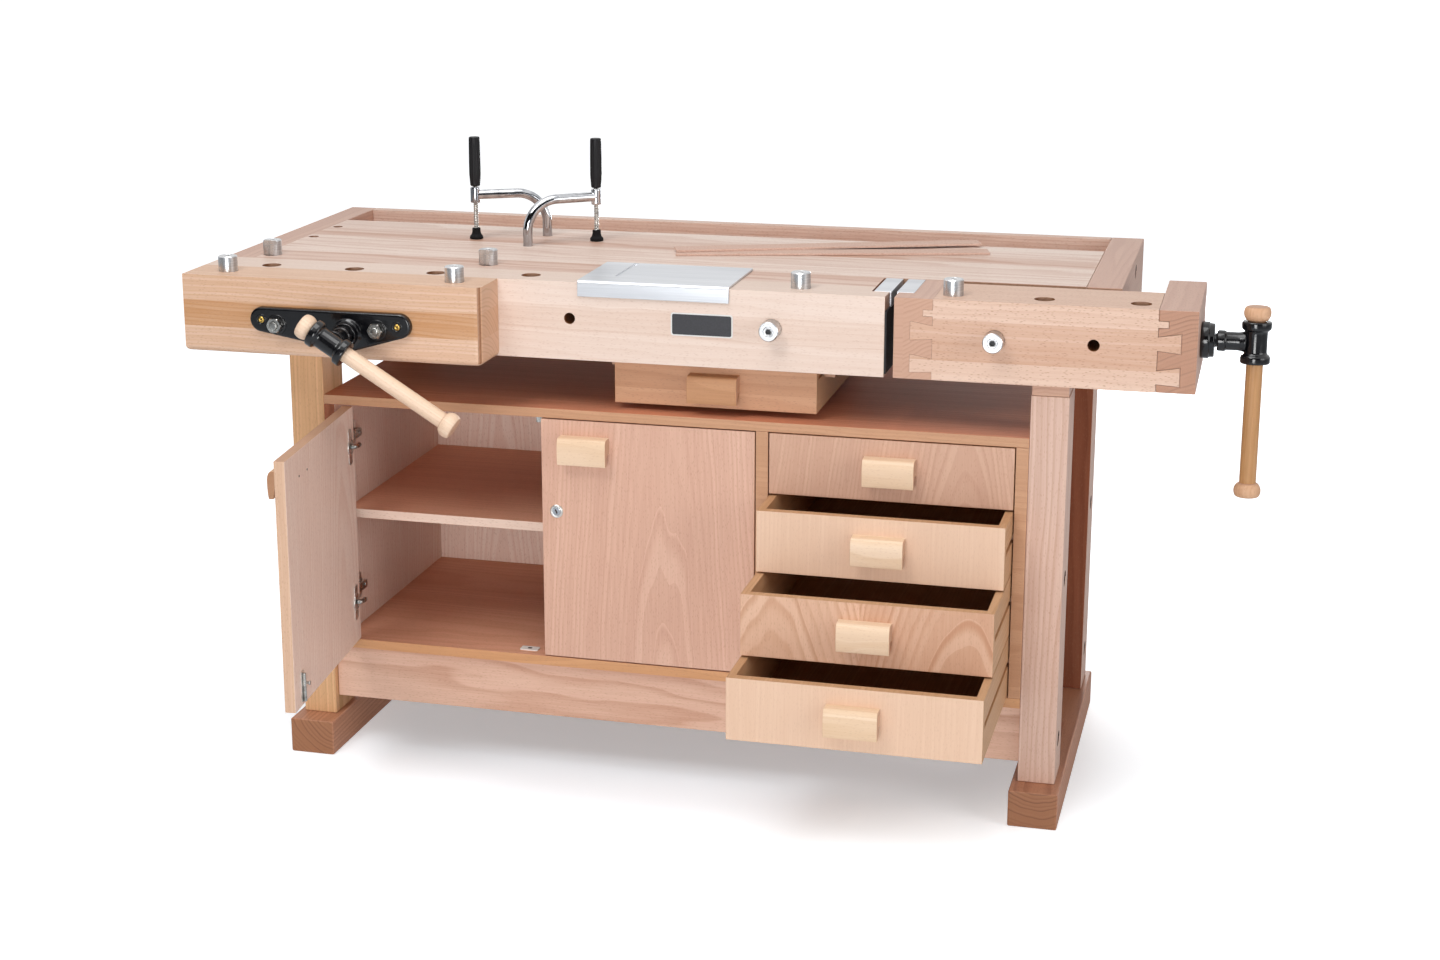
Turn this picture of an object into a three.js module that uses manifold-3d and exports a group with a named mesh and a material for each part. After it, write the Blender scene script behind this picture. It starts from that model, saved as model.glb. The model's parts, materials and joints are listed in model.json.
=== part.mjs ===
// A joiner's bench in beech: a trestle with a cabinet of doors and drawers in it, a thick
// laminated top with a tool tray, a front vise, a tail vise, round dogs and two hold-downs.
import * as THREE from 'three';
import { mergeVertices } from 'three/addons/utils/BufferGeometryUtils.js';
import Module from 'manifold-3d';

const wasm = await Module();
wasm.setup();

// All sizes are in millimetres. X runs right from the bench's left end, Y runs back from the
// apron's front face and Z runs up from the floor.

// Fits
const seam = 0.3; // between pieces that touch
const slideGap = 0.5; // round a piece that slides or turns in another
const frontGap = 2; // round doors and drawer fronts

// Trestle
const footHeight = 62;
const footWidth = 80;
const footOverhang = 42; // in front of the legs
const footRearOverhang = 18;
const legWidth = 60;
const legDepth = 85;
const legSetback = 10; // behind the apron's face
const legPitch = 450; // front leg to rear leg
const leftLegEdge = 143;
const rightOverhang = 63; // from the right leg to the top's right end
const bearerThickness = 18;
const bearerInset = 1;
const stretcherHeight = 96;
const stretcherThickness = 40;
const stretcherGround = 92;
const stretcherSetback = 12;
const boltHoleRadius = 13;
const boltHoleDepth = 20;
const boltHeights = [126, 402];

// Top
const benchHeight = 860;
const topLength = 1526;
const topDepth = 643;
const tailNotch = 356; // from the apron's end to the top's right end
const apronThickness = 80;
const apronHeight = 130;
const panelThickness = 60;
const leftEndWidth = 52;
const rightEndWidth = 57;
const endBoardHeight = 110;
const trayWidth = 126;
const trayDepth = 48;
const trayFloorThickness = 12;
const backRailThickness = 23;
const backRailHeight = 90;
const notchDepth = 158; // the tail vise's notch, back from the apron's face
const endBoltPlace = 462;
const endBoltDrop = 28.5;

// Cabinet
const cabinetTopThickness = 16;
const cabinetBottomThickness = 17;
const cabinetRearInset = 45; // from the rear legs' backs to the cabinet's back
const sideThickness = 20;
const backThickness = 8;
const drawerBayWidth = 402;
const shelfRise = 227; // above the bottom board
const shelfThickness = 16;
const shelfSetback = 35;

// Doors and their pulls
const doorThickness = 18;
const leftDoorOpening = 84; // degrees
const hingeInset = 6.5; // from the door's edge to the hinge line
const hingeProud = 5.5; // from the door's face forward to the hinge line
const pullWidth = 84;
const pullHeight = 46;
const pullDepth = 24;
const pullLip = 10;
const pullBearing = 28; // height of the part glued to the front
const pullRound = 9;
const pullToe = 2; // how far the lip draws in at its foot
const doorPullInset = 34;
const doorPullDrop = 26;

// Drawers, listed from the top
const drawerSpacing = 3;
const drawersPulled = [0, 91, 199, 293];
const drawerFrontThickness = 16;
const drawerSideThickness = 13;
const drawerBackThickness = 13;
const drawerBottomThickness = 8;
const drawerRearRoom = 52; // behind a closed drawer
const runnerHeight = 9;
const runnerReach = 6;
const runnerPlace = 56; // above the drawer's lower edge

// Till that hangs under the top
const tillFromEnd = 115; // from the apron's right end
const tillWidth = 341;
const tillSetback = 38;
const tillLength = 400;
const tillHeight = 68;
const tillGap = 9; // below the apron
const tillClearance = 11; // above the cabinet
const tillRunnerDrop = 9; // below the till's upper edge
const hangerThickness = 18;
const hangerSetback = 90;
const hangerRearRoom = 30; // in front of the rear beam
const hangerBelowRunner = 8;

// Front vise
const jawLength = 526;
const jawThickness = 87;
const jawCornerRadius = 12;
const jawTravel = 180;
const frontScrewX = 297;
const screwBelowPanel = 13;
const guideRodXs = [172, 350];
const rodsBelowPanel = 5;
const guideRodRadius = 11;
const rodNutRadius = 13.5;
const rodNutLength = 14;
const plateThickness = 10;
const plateEndRadius = 21;
const plateEndRise = 7; // above the guide rods
const plateLeftReach = 27; // past the left rod
const plateRightReach = 37; // past the right rod
const plateBossRadius = 31;
const bossRadius = 20;
const bossLength = 14;
const castingThickness = 40;
const castingMargin = 16;
const guideEngagement = 8; // past the casting with the vise fully open
const frontCollarGap = 0.7; // bare shaft between boss and collar

// Tail vise
const tailGap = 15; // between the apron's end and the jaw block as drawn
const jawBlockThickness = 61;
const beamLength = 348;
const beamThickness = 84;
const coverClearance = 18; // between the cover and the notch's back
const coverThickness = 24;
const capThickness = 60;
const capDepth = 250;
const blockClearance = 1.5;
const tailTravel = 160;
const screwBehindBeam = 9;
const guideBarFromNotch = 38;
const guideBarRise = 25; // above the vise's underside
const guideBarRadius = 10;
const guideBarInset = 1; // inside the jaw block's face
const nutBlockThickness = 45;
const nutBlockSetback = 6;
const nutBlockMargin = 10;
const flangeRadius = 29;
const flangeThickness = 13;
const flangeStepRadius = 27;
const flangeStepThickness = 8;
const tailCollarGap = 3.7; // bare shaft between flange and collar
const dovetailLength = 35;
// Depths are below the top face, at the tail's wide end and at its root. The lower tail is set
// from the underside.
const dovetails = [
  { endTop: 37, endBottom: 67.5, rootTop: 43, rootBottom: 64.5 },
  {
    endTop: apronHeight - 40,
    endBottom: apronHeight - 11,
    rootTop: apronHeight - 34,
    rootBottom: apronHeight - 13,
  },
];
const tenon = { top: 18, bottom: 28, length: 15 };
const jawPlateThickness = 3.2;
const jawPlateWidth = 28;
const jawPlateSetback = 42;
const jawPlateMargin = 2; // between the plate and the notch's back
const jawPlateDrop = 25;
const jawPlateProud = 0.4;

// Vise screws, tees and handles
const screwRadius = 12;
const teeReach = 84; // from the vise's face to the handle
const teeLength = 67;
const teeRadius = 17.5;
const teeFlangeRadius = 23;
const teeFlangeLength = 12;
const neckRadius = 14.5;
const collarRadius = 16.5;
const collarLength = 12;
const collarShoulder = 2;
const teeShoulder = 3;
const handleRadius = 13;
const handleLength = 258; // between the knobs
const knobRadius = 21;
const knobLength = 23;
// The knob's barrel shape, as shares of its radius and of its length from the bar.
const knobShape = [[0.8, 0], [1, 0.35], [1, 0.7], [0.85, 1]];
const frontHandleLean = 58.5; // degrees from hanging straight down
const tailHandleLean = -3;

// Dogs and dog holes
const dogRadius = 16;
const dogProud = 26;
const topDogShank = 62;
const faceDogShank = 48;
const dogChamfer = 1.5;
const dogSocketRadius = 6;
const dogSocketDepth = 6;
const dogRow = 42; // back from the apron's face
const nearRow = 22;
const nearRowHoles = [113, 264, 410];
const jawDogInsets = [64, 59]; // from the jaw's left and right ends
const apronDogInset = 144; // from the apron's right end
const dogWall = 5.4; // wood left between two crossing dog holes
const apronTopHole = 570;
const apronFaceHole = 649;
// Along the tail beam, from its left end.
const tailTopDogInset = 26;
const tailMiddleHoleInset = 169;
const tailFaceDogInset = 98;
const tailFaceHoleInset = 251;
const tailEndHoleInset = 30; // from the beam's right end
const faceHoleDrop = 61; // below the top face
const clampHoleRadius = 9.5; // the empty holes in the front faces
const wedgeRow = 119;
const wedgeDogInset = 19; // from the panel's left end
const wedgeDogPitch = 397;
const wedgeCutTop = 6;
const wedgeCutBottom = 9;

// Bench plate
const benchPlatePlace = 0.6; // share of the free edge that lies left of the plate
const benchPlateWidth = 254;
const benchPlateDepth = 167;
const benchPlateThickness = 4;
const benchPlateDrop = 27;
const benchPlateBend = 6;
const grooveInset = 50;
const grooveWidth = 8;
const grooveDepth = 2;
const grooveSetback = 44;
const grooveBackMargin = 7;

// Hold-downs
const holdColumn = 476;
const spareHoldInset = 14; // from the panel's left end
const holdRows = [306, 417];
const holdSwings = [37.4, 208.8]; // degrees from +X
const postRadius = 8.5;
const postBelow = 68; // below the bench's top face
const armRise = 80;
const armReach = 130;
const armBend = 55;
const holdBossRadius = 9;
const holdBossHeight = 28;
const spindleRadius = 4.5;
const gripRadius = 10.5;
const gripLength = 88;
// The grip's swell, as shares of its radius and of its length from the lower end.
const gripShape = [[0.82, 0], [1, 0.3], [0.93, 1]];
const gripClearance = 2;
const padRadius = 12;
const padNeckRadius = 7.5;
const padHeight = 20;
const padSocketDepth = 9;
const padRimHeight = 5;
const padNeckHeight = 6;

// Smoothness of round pieces
const roundSides = 20;
const tubeSides = 12;
const tubeSteps = 16;
const arcSegments = 6;
const hexSides = 6;

// Places worked out from the sizes above
const apronLength = topLength - tailNotch;
const apronBottom = benchHeight - apronHeight;
const panelBottom = benchHeight - panelThickness;
const legTop = apronBottom - bearerThickness;
const rightLegEdge = topLength - rightOverhang - legWidth;
const rearLegFront = legSetback + legPitch;
const footLength = footOverhang + legPitch + legDepth + footRearOverhang;
const trestleLefts = [leftLegEdge, rightLegEdge];
const cabinetLeft = leftLegEdge + legWidth;
const cabinetRight = rightLegEdge;
const cabinetBack = rearLegFront + legDepth - cabinetRearInset;
const tillBottom = apronBottom - tillGap - tillHeight;
const cabinetHeight = tillBottom - tillClearance;
const bottomBoardTop = stretcherGround + stretcherHeight + cabinetBottomThickness;
const shelfHeight = bottomBoardTop + shelfRise;
const topBoardBottom = cabinetHeight - cabinetTopThickness;
const rightSideInner = cabinetRight - sideThickness;
const dividerRight = rightSideInner - drawerBayWidth;
const dividerLeft = dividerRight - sideThickness;
const leftSideInner = cabinetLeft + sideThickness;
const doorWidth = (dividerLeft - leftSideInner - 3 * frontGap) / 2;
const doorHeight = topBoardBottom - bottomBoardTop - 2 * frontGap;
const drawerCount = drawersPulled.length;
const drawerWidth = drawerBayWidth - 2 * frontGap;
const drawerStack = topBoardBottom - bottomBoardTop - 2 * frontGap;
const drawerHeight = (drawerStack - (drawerCount - 1) * drawerSpacing) / drawerCount;
const runnerGroove = runnerReach - frontGap + slideGap;
const drawerLength = cabinetBack - legSetback - backThickness - drawerRearRoom;
const tillRight = apronLength - tillFromEnd;
const tillLeft = tillRight - tillWidth;
const tillRunnerPlace = tillHeight - tillRunnerDrop;
const backRailFront = topDepth - backRailThickness;
const trayFront = backRailFront - trayWidth;
const rightEndInner = topLength - rightEndWidth;
const jawBlockLeft = apronLength + tailGap;
const beamLeft = jawBlockLeft + jawBlockThickness;
const capLeft = beamLeft + beamLength;
const capRight = capLeft + capThickness;
const rodHeight = panelBottom - rodsBelowPanel - guideRodRadius;
const guideRodPlaces = guideRodXs.map((x) => ({ x, z: rodHeight }));
const frontScrewPlace = { x: frontScrewX, z: panelBottom - screwBelowPanel - screwRadius };
const tailScrewPlace = {
  y: beamThickness + screwBehindBeam + screwRadius,
  z: benchHeight - apronHeight / 2,
};
const guideBarPlace = { y: notchDepth - guideBarFromNotch, z: apronBottom + guideBarRise };
const dogHoleRadius = dogRadius + seam;
const jawDogs = [jawDogInsets[0], jawLength - jawDogInsets[1]];
const apronTopDog = apronLength - apronDogInset;
const apronFaceDog = apronTopDog - 2 * dogHoleRadius - dogWall;
const tailTopDog = beamLeft + tailTopDogInset;
const tailTopHoles = [beamLeft + tailMiddleHoleInset, capLeft - tailEndHoleInset];
const tailFaceDog = beamLeft + tailFaceDogInset;
const tailFaceHole = beamLeft + tailFaceHoleInset;
const faceHoleHeight = benchHeight - faceHoleDrop;
const wedgeDogs = [leftEndWidth + wedgeDogInset, leftEndWidth + wedgeDogInset + wedgeDogPitch];
const spareHoldColumn = leftEndWidth + spareHoldInset;
const plateRoom = apronTopDog - dogRadius - jawLength - benchPlateWidth;
const benchPlateLeft = jawLength + benchPlatePlace * plateRoom;
const holdHoleRadius = postRadius + seam;

// Solids and booleans

function toSolid(geometry) {
  const bare = geometry.clone();
  bare.deleteAttribute('normal');
  bare.deleteAttribute('uv');
  const merged = mergeVertices(bare, 1e-4);
  const index = merged.index.array;
  const triangles = [];
  for (let i = 0; i < index.length; i += 3) {
    const [a, b, c] = [index[i], index[i + 1], index[i + 2]];
    if (a !== b && b !== c && c !== a) triangles.push(a, b, c);
  }
  return new wasm.Manifold(new wasm.Mesh({
    numProp: 3,
    vertProperties: new Float32Array(merged.attributes.position.array),
    triVerts: new Uint32Array(triangles),
  }));
}

function toGeometry(solid) {
  const mesh = solid.getMesh();
  const geometry = new THREE.BufferGeometry();
  geometry.setAttribute('position', new THREE.BufferAttribute(mesh.vertProperties, 3));
  geometry.setIndex(new THREE.BufferAttribute(mesh.triVerts, 1));
  geometry.computeVertexNormals();
  return geometry;
}

function join(first, ...others) {
  return toGeometry(others.reduce((sum, other) => sum.add(toSolid(other)), toSolid(first)));
}

function cut(first, ...tools) {
  return toGeometry(tools.reduce((rest, tool) => rest.subtract(toSolid(tool)), toSolid(first)));
}

// Basic forms, in bench coordinates

function block(low, high) {
  const size = high.map((value, axis) => value - low[axis]);
  const geometry = new THREE.BoxGeometry(...size);
  return geometry.translate(...low.map((value, axis) => value + size[axis] / 2));
}

function aim(geometry, from, direction) {
  const up = new THREE.Vector3(0, 1, 0);
  const turn = new THREE.Quaternion().setFromUnitVectors(up, direction.clone().normalize());
  return geometry.applyQuaternion(turn).translate(from.x, from.y, from.z);
}

function rod(radius, from, to, sides = roundSides) {
  const start = new THREE.Vector3(...from);
  const along = new THREE.Vector3(...to).sub(start);
  const length = along.length();
  const geometry = new THREE.CylinderGeometry(radius, radius, length, sides).translate(0, length / 2, 0);
  return aim(geometry, start, along);
}

// A turned piece: profile lists radius and distance along the axis, from axis to axis.
function turned(profile, from, direction) {
  const points = profile.map(([radius, along]) => new THREE.Vector2(radius, along));
  const geometry = toGeometry(toSolid(new THREE.LatheGeometry(points, roundSides)));
  return aim(geometry, new THREE.Vector3(...from), new THREE.Vector3(...direction));
}

function outline(points) {
  return new THREE.Shape(points.map(([x, y]) => new THREE.Vector2(x, y)));
}

function extrude(shape, depth) {
  return new THREE.ExtrudeGeometry(shape, { depth, bevelEnabled: false, curveSegments: arcSegments });
}

// A section drawn in Y and Z, carried along X.
function alongX(shape, left, right) {
  const basis = new THREE.Matrix4().set(0, 0, 1, left, 1, 0, 0, 0, 0, 1, 0, 0, 0, 0, 0, 1);
  return extrude(shape, right - left).applyMatrix4(basis);
}

// A section drawn in X and Z, carried along Y.
function alongY(shape, front, back) {
  const basis = new THREE.Matrix4().set(1, 0, 0, 0, 0, 0, -1, back, 0, 1, 0, 0, 0, 0, 0, 1);
  return extrude(shape, back - front).applyMatrix4(basis);
}

// A section drawn in X and Y, carried along Z.
function alongZ(shape, bottom, top) {
  return extrude(shape, top - bottom).translate(0, 0, bottom);
}

// The outline round a ring of circles, listed anticlockwise, with straight lines between them.
function roundedHull(circles) {
  const shape = new THREE.Shape();
  const count = circles.length;
  const lineAngles = circles.map((circle, i) => {
    const next = circles[(i + 1) % count];
    const heading = Math.atan2(next.y - circle.y, next.x - circle.x);
    const distance = Math.hypot(next.x - circle.x, next.y - circle.y);
    return heading - Math.acos((circle.r - next.r) / distance);
  });
  circles.forEach((circle, i) => {
    const start = lineAngles[(i + count - 1) % count];
    const sweep = THREE.MathUtils.euclideanModulo(lineAngles[i] - start, 2 * Math.PI);
    shape.absarc(circle.x, circle.y, circle.r, start, start + sweep, false);
  });
  return shape;
}

// Finishes

const beech = { color: 0xe2c1a0, roughness: 0.55, metalness: 0 };
const beechVeneer = { color: 0xc99f7d, roughness: 0.5, metalness: 0 };
const steamedBeech = { color: 0xb98a62, roughness: 0.55, metalness: 0 };
const turnedBeech = { color: 0xe9cda8, roughness: 0.5, metalness: 0 };
const blackEnamel = { color: 0x14151a, roughness: 0.25, metalness: 0.2 };
const brightSteel = { color: 0xc4c6c8, roughness: 0.32, metalness: 1 };
const aluminium = { color: 0xd6d7d9, roughness: 0.28, metalness: 1 };
const chrome = { color: 0xd9dadd, roughness: 0.08, metalness: 1 };
const blackPlastic = { color: 0x1d1c20, roughness: 0.55, metalness: 0 };
const greyIron = { color: 0x55565a, roughness: 0.6, metalness: 0.6 };

const bench = new THREE.Group();

function place(name, finish, geometry, parent = bench) {
  const piece = new THREE.Mesh(geometry, new THREE.MeshStandardMaterial(finish));
  piece.name = name;
  parent.add(piece);
  return piece;
}

// A plain board, drawn from its own lower corner and set down at its place.
function board(name, finish, low, high) {
  const size = high.map((value, axis) => value - low[axis]);
  const piece = place(name, finish, block([0, 0, 0], size));
  piece.position.set(...low);
  return piece;
}

// Trestle: two feet, four legs with sunk bolt holes, two bearers and two stretchers

function leg(name, left, front, boltSide) {
  const body = block([0, 0, 0], [legWidth, legDepth, legTop - footHeight - 2 * seam]);
  const outer = boltSide > 0 ? legWidth : 0;
  const holes = boltHeights.map((height) => {
    const z = height - footHeight - seam;
    const inner = outer - boltSide * boltHoleDepth;
    const mouth = outer + boltSide;
    return rod(boltHoleRadius, [inner, legDepth / 2, z], [mouth, legDepth / 2, z], tubeSides);
  });
  place(name, beech, cut(body, ...holes)).position.set(left, front, footHeight + seam);
}

['left', 'right'].forEach((side, i) => {
  const left = trestleLefts[i];
  const outward = i === 0 ? -1 : 1;
  const footLeft = left + (legWidth - footWidth) / 2;
  const footFront = legSetback - footOverhang;
  board(`${side}_foot`, steamedBeech, [footLeft, footFront, 0],
    [footLeft + footWidth, footFront + footLength, footHeight]);
  leg(`${side}_front_leg`, left, legSetback, outward);
  leg(`${side}_rear_leg`, left, rearLegFront, outward);
  board(`${side}_bearer`, beech, [left + bearerInset, legSetback, legTop],
    [left + legWidth - bearerInset, rearLegFront + legDepth, apronBottom - seam]);
});

const stretcherFronts = [legSetback + stretcherSetback, rearLegFront + stretcherSetback];
['front', 'rear'].forEach((side, i) => {
  const front = stretcherFronts[i];
  board(`${side}_stretcher`, beech, [cabinetLeft + seam, front, stretcherGround],
    [cabinetRight - seam, front + stretcherThickness, stretcherGround + stretcherHeight]);
});

// Top: panel with the till's hangers glued under it, apron, end boards, tray and rear beam

function verticalHole(radius, x, y, bottom) {
  return rod(radius, [x, y, bottom - 1], [x, y, benchHeight + 1]);
}

function faceHole(radius, x, depth) {
  return rod(radius, [x, -1, faceHoleHeight], [x, depth + 1, faceHoleHeight]);
}

const fixedPlateLeft = apronLength - jawPlateWidth;
const jawPlateBack = notchDepth - jawPlateMargin;
const plateSeat = jawPlateThickness - jawPlateProud + seam;
const fixedPlateSeat = block(
  [fixedPlateLeft - seam, jawPlateSetback - seam, benchHeight - plateSeat],
  [apronLength + 1, jawPlateBack + seam, benchHeight + 1],
);

const panelLeft = leftEndWidth + seam;
const panelRight = rightEndInner - seam;
const panelFront = apronThickness + seam;
const panelOutline = outline([
  [panelLeft, panelFront],
  [apronLength, panelFront],
  [apronLength, notchDepth],
  [panelRight, notchDepth],
  [panelRight, trayFront],
  [panelLeft, trayFront],
]);

function hanger(left, ribLeft, ribRight) {
  const back = rearLegFront - hangerRearRoom;
  const ribMiddle = tillBottom + tillRunnerPlace;
  const rail = block([left, hangerSetback, ribMiddle - hangerBelowRunner],
    [left + hangerThickness, back, panelBottom + 1]);
  const rib = block([ribLeft, hangerSetback, ribMiddle - runnerHeight / 2],
    [ribRight, back, ribMiddle + runnerHeight / 2]);
  return join(rail, rib);
}

const leftHangerFace = tillLeft - frontGap;
const rightHangerFace = tillRight + frontGap;
place('top_panel', beech, cut(
  join(
    alongZ(panelOutline, panelBottom, benchHeight),
    hanger(leftHangerFace - hangerThickness, leftHangerFace - 1, leftHangerFace + runnerReach),
    hanger(rightHangerFace, rightHangerFace - runnerReach, rightHangerFace + 1),
  ),
  fixedPlateSeat,
  ...wedgeDogs.map((x) => verticalHole(dogHoleRadius, x, wedgeRow, panelBottom)),
  ...holdRows.flatMap((y) => [
    verticalHole(holdHoleRadius, holdColumn, y, panelBottom),
    verticalHole(holdHoleRadius, spareHoldColumn, y, panelBottom),
  ]),
));

const apronBores = [...guideRodPlaces.map((rodPlace) => [guideRodRadius, rodPlace]),
  [screwRadius, frontScrewPlace]];
place('front_apron', beech, cut(
  block([0, 0, apronBottom], [apronLength, apronThickness, benchHeight]),
  fixedPlateSeat,
  ...nearRowHoles.map((x) => verticalHole(dogHoleRadius, x, nearRow, apronBottom)),
  ...[apronTopHole, apronTopDog].map((x) => verticalHole(dogHoleRadius, x, dogRow, apronBottom)),
  faceHole(clampHoleRadius, apronFaceHole, apronThickness),
  faceHole(dogHoleRadius, apronFaceDog, apronThickness),
  ...apronBores.map(([radius, { x, z }]) => (
    rod(radius + slideGap, [x, -1, z], [x, apronThickness + 1, z]))),
));

const endBoardBottom = benchHeight - endBoardHeight;
board('left_end_board', beech, [0, panelFront, endBoardBottom], [leftEndWidth, topDepth, benchHeight]);
const endBoltHeight = benchHeight - endBoltDrop;
place('right_end_board', beech, cut(
  block([rightEndInner, notchDepth, endBoardBottom], [topLength, topDepth, benchHeight]),
  rod(boltHoleRadius, [topLength - boltHoleDepth, endBoltPlace, endBoltHeight],
    [topLength + 1, endBoltPlace, endBoltHeight], tubeSides),
));
board('back_rail', beech, [panelLeft, backRailFront, benchHeight - backRailHeight],
  [panelRight, topDepth, benchHeight]);
const trayFloorTop = benchHeight - trayDepth;
board('tray_floor', beechVeneer, [panelLeft, trayFront + seam, trayFloorTop - trayFloorThickness],
  [panelRight, backRailFront - seam, trayFloorTop]);
const beamTop = Math.min(panelBottom, trayFloorTop - trayFloorThickness) - seam;
board('rear_beam', beech, [panelLeft, rearLegFront, apronBottom],
  [panelRight, rearLegFront + legDepth, beamTop]);

// Cabinet

board('cabinet_bottom', beechVeneer,
  [cabinetLeft + seam, legSetback, stretcherGround + stretcherHeight + seam],
  [cabinetRight - seam, cabinetBack, bottomBoardTop]);
board('cabinet_top', beech, [cabinetLeft + seam, legSetback, topBoardBottom],
  [cabinetRight - seam, cabinetBack, cabinetHeight]);
const wallBottom = bottomBoardTop + seam;
const wallTop = topBoardBottom - seam;
const backFront = cabinetBack - backThickness;
board('cabinet_left_side', beechVeneer, [cabinetLeft + seam, legSetback, wallBottom],
  [leftSideInner, cabinetBack, wallTop]);
board('cabinet_back', beechVeneer, [leftSideInner + seam, backFront, wallBottom],
  [rightSideInner - seam, cabinetBack, wallTop]);
board('cabinet_shelf', beechVeneer,
  [leftSideInner + seam, legSetback + shelfSetback, shelfHeight - shelfThickness],
  [dividerLeft - seam, backFront - seam, shelfHeight]);

const drawerBottoms = drawersPulled.map((pulled, i) => (
  topBoardBottom - frontGap - drawerHeight - i * (drawerHeight + drawerSpacing)));
const runnerFront = legSetback + drawerFrontThickness + frontGap;

// A wall of the drawer bay with a runner for each drawer.
function runnerWall(low, high, ribLeft, ribRight) {
  const ribs = drawerBottoms.map((bottom) => {
    const middle = bottom + runnerPlace;
    return block([ribLeft, runnerFront, middle - runnerHeight / 2],
      [ribRight, backFront - 2 * seam, middle + runnerHeight / 2]);
  });
  return join(block(low, high), ...ribs);
}

place('cabinet_divider', beechVeneer, runnerWall(
  [dividerLeft, legSetback, wallBottom], [dividerRight, backFront - seam, wallTop],
  dividerRight - 1, dividerRight + runnerReach));
place('cabinet_right_side', beechVeneer, runnerWall(
  [rightSideInner, legSetback, wallBottom], [cabinetRight - seam, cabinetBack, wallTop],
  rightSideInner - runnerReach, rightSideInner + 1));

// Pulls, doors, drawers and till

// A finger pull: flat top, bowed face, and a lip that hangs clear of the front it is glued to.
function pull(left, top, faceY) {
  const section = new THREE.Shape();
  const bottom = top - pullHeight;
  section.moveTo(faceY + 1, top);
  section.lineTo(faceY - pullDepth + pullRound, top);
  section.quadraticCurveTo(faceY - pullDepth, top, faceY - pullDepth, top - 2 * pullRound);
  section.quadraticCurveTo(faceY - pullDepth, bottom + pullRound, faceY - pullDepth + pullToe, bottom);
  section.lineTo(faceY - pullDepth + pullLip, bottom);
  section.lineTo(faceY - pullDepth + pullLip + pullToe, top - pullBearing);
  section.lineTo(faceY + 1, top - pullBearing);
  return alongX(section, left, left + pullWidth);
}

function hangDoor(name, hingeX, reach, opening) {
  const hinge = new THREE.Group();
  hinge.position.set(hingeX, legSetback - hingeProud, bottomBoardTop + frontGap);
  hinge.rotation.z = THREE.MathUtils.degToRad(-reach * opening);
  bench.add(hinge);
  const hingeEdge = -reach * hingeInset;
  const freeEdge = hingeEdge + reach * doorWidth;
  const low = Math.min(hingeEdge, freeEdge);
  const panel = block([low, hingeProud, 0], [low + doorWidth, hingeProud + doorThickness, doorHeight]);
  const pullNear = freeEdge - reach * doorPullInset;
  const pullLeft = Math.min(pullNear, pullNear - reach * pullWidth);
  const grip = pull(pullLeft, doorHeight - doorPullDrop, hingeProud);
  place(name, beechVeneer, join(panel, grip), hinge);
}

hangDoor('left_door', leftSideInner + frontGap + hingeInset, 1, leftDoorOpening);
hangDoor('right_door', dividerLeft - frontGap - hingeInset, -1, 0);

// An open box with a groove down each side for its runners, drawn from its own front corner.
function drawer(name, width, height, length, grooveMiddle, corner) {
  const inner = drawerFrontThickness;
  const grooveHalf = runnerHeight / 2 + slideGap;
  const grooveLow = grooveMiddle - grooveHalf;
  const grooveHigh = grooveMiddle + grooveHalf;
  const box = cut(
    block([0, 0, 0], [width, length, height]),
    block([drawerSideThickness, inner, drawerBottomThickness],
      [width - drawerSideThickness, length - drawerBackThickness, height + 1]),
    block([-1, inner, grooveLow], [runnerGroove, length + 1, grooveHigh]),
    block([width - runnerGroove, inner, grooveLow], [width + 1, length + 1, grooveHigh]),
  );
  const grip = pull((width - pullWidth) / 2, (height + pullHeight) / 2, 0);
  place(name, beechVeneer, join(box, grip)).position.set(...corner);
}

drawerBottoms.forEach((bottom, i) => {
  const corner = [dividerRight + frontGap, legSetback - drawersPulled[i], bottom];
  drawer(`drawer_${i + 1}`, drawerWidth, drawerHeight, drawerLength, runnerPlace, corner);
});
drawer('till_drawer', tillWidth, tillHeight, tillLength, tillRunnerPlace,
  [tillLeft, tillSetback, tillBottom]);

// Vise screw, tee and handle, drawn with the screw along X, out of the vise at X = 0, and with
// the handle along Z. The handle has slid down until its upper knob rests on the tee.

function teeScrew(innerEnd, collarStart) {
  const half = teeLength / 2;
  const tee = turned([
    [0, -half],
    [teeFlangeRadius, -half],
    [teeFlangeRadius, teeFlangeLength - half],
    [teeRadius, teeFlangeLength - half + teeShoulder],
    [teeRadius, half - teeFlangeLength - teeShoulder],
    [teeFlangeRadius, half - teeFlangeLength],
    [teeFlangeRadius, half],
    [0, half],
  ], [teeReach, 0, 0], [0, 0, 1]);
  const neck = turned([
    [0, collarStart],
    [collarRadius, collarStart],
    [collarRadius, collarStart + collarLength],
    [neckRadius, collarStart + collarLength + collarShoulder],
    [neckRadius, teeReach],
    [0, teeReach],
  ], [0, 0, 0], [1, 0, 0]);
  const shaft = rod(screwRadius, [innerEnd, 0, 0], [collarStart + 1, 0, 0]);
  const bore = rod(handleRadius + slideGap, [teeReach, 0, -teeLength], [teeReach, 0, teeLength]);
  return cut(join(tee, neck, shaft), bore);
}

function handle() {
  const barTop = teeLength / 2 + seam;
  const barBottom = barTop - handleLength;
  const lower = knobShape.map(([r, t]) => [r * knobRadius, barBottom - t * knobLength]).reverse();
  const upper = knobShape.map(([r, t]) => [r * knobRadius, barTop + t * knobLength]);
  const profile = [
    [0, barBottom - knobLength],
    ...lower,
    [handleRadius, barBottom],
    [handleRadius, barTop],
    ...upper,
    [0, barTop + knobLength],
  ];
  return turned(profile, [teeReach, 0, 0], [0, 0, 1]);
}

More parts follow.
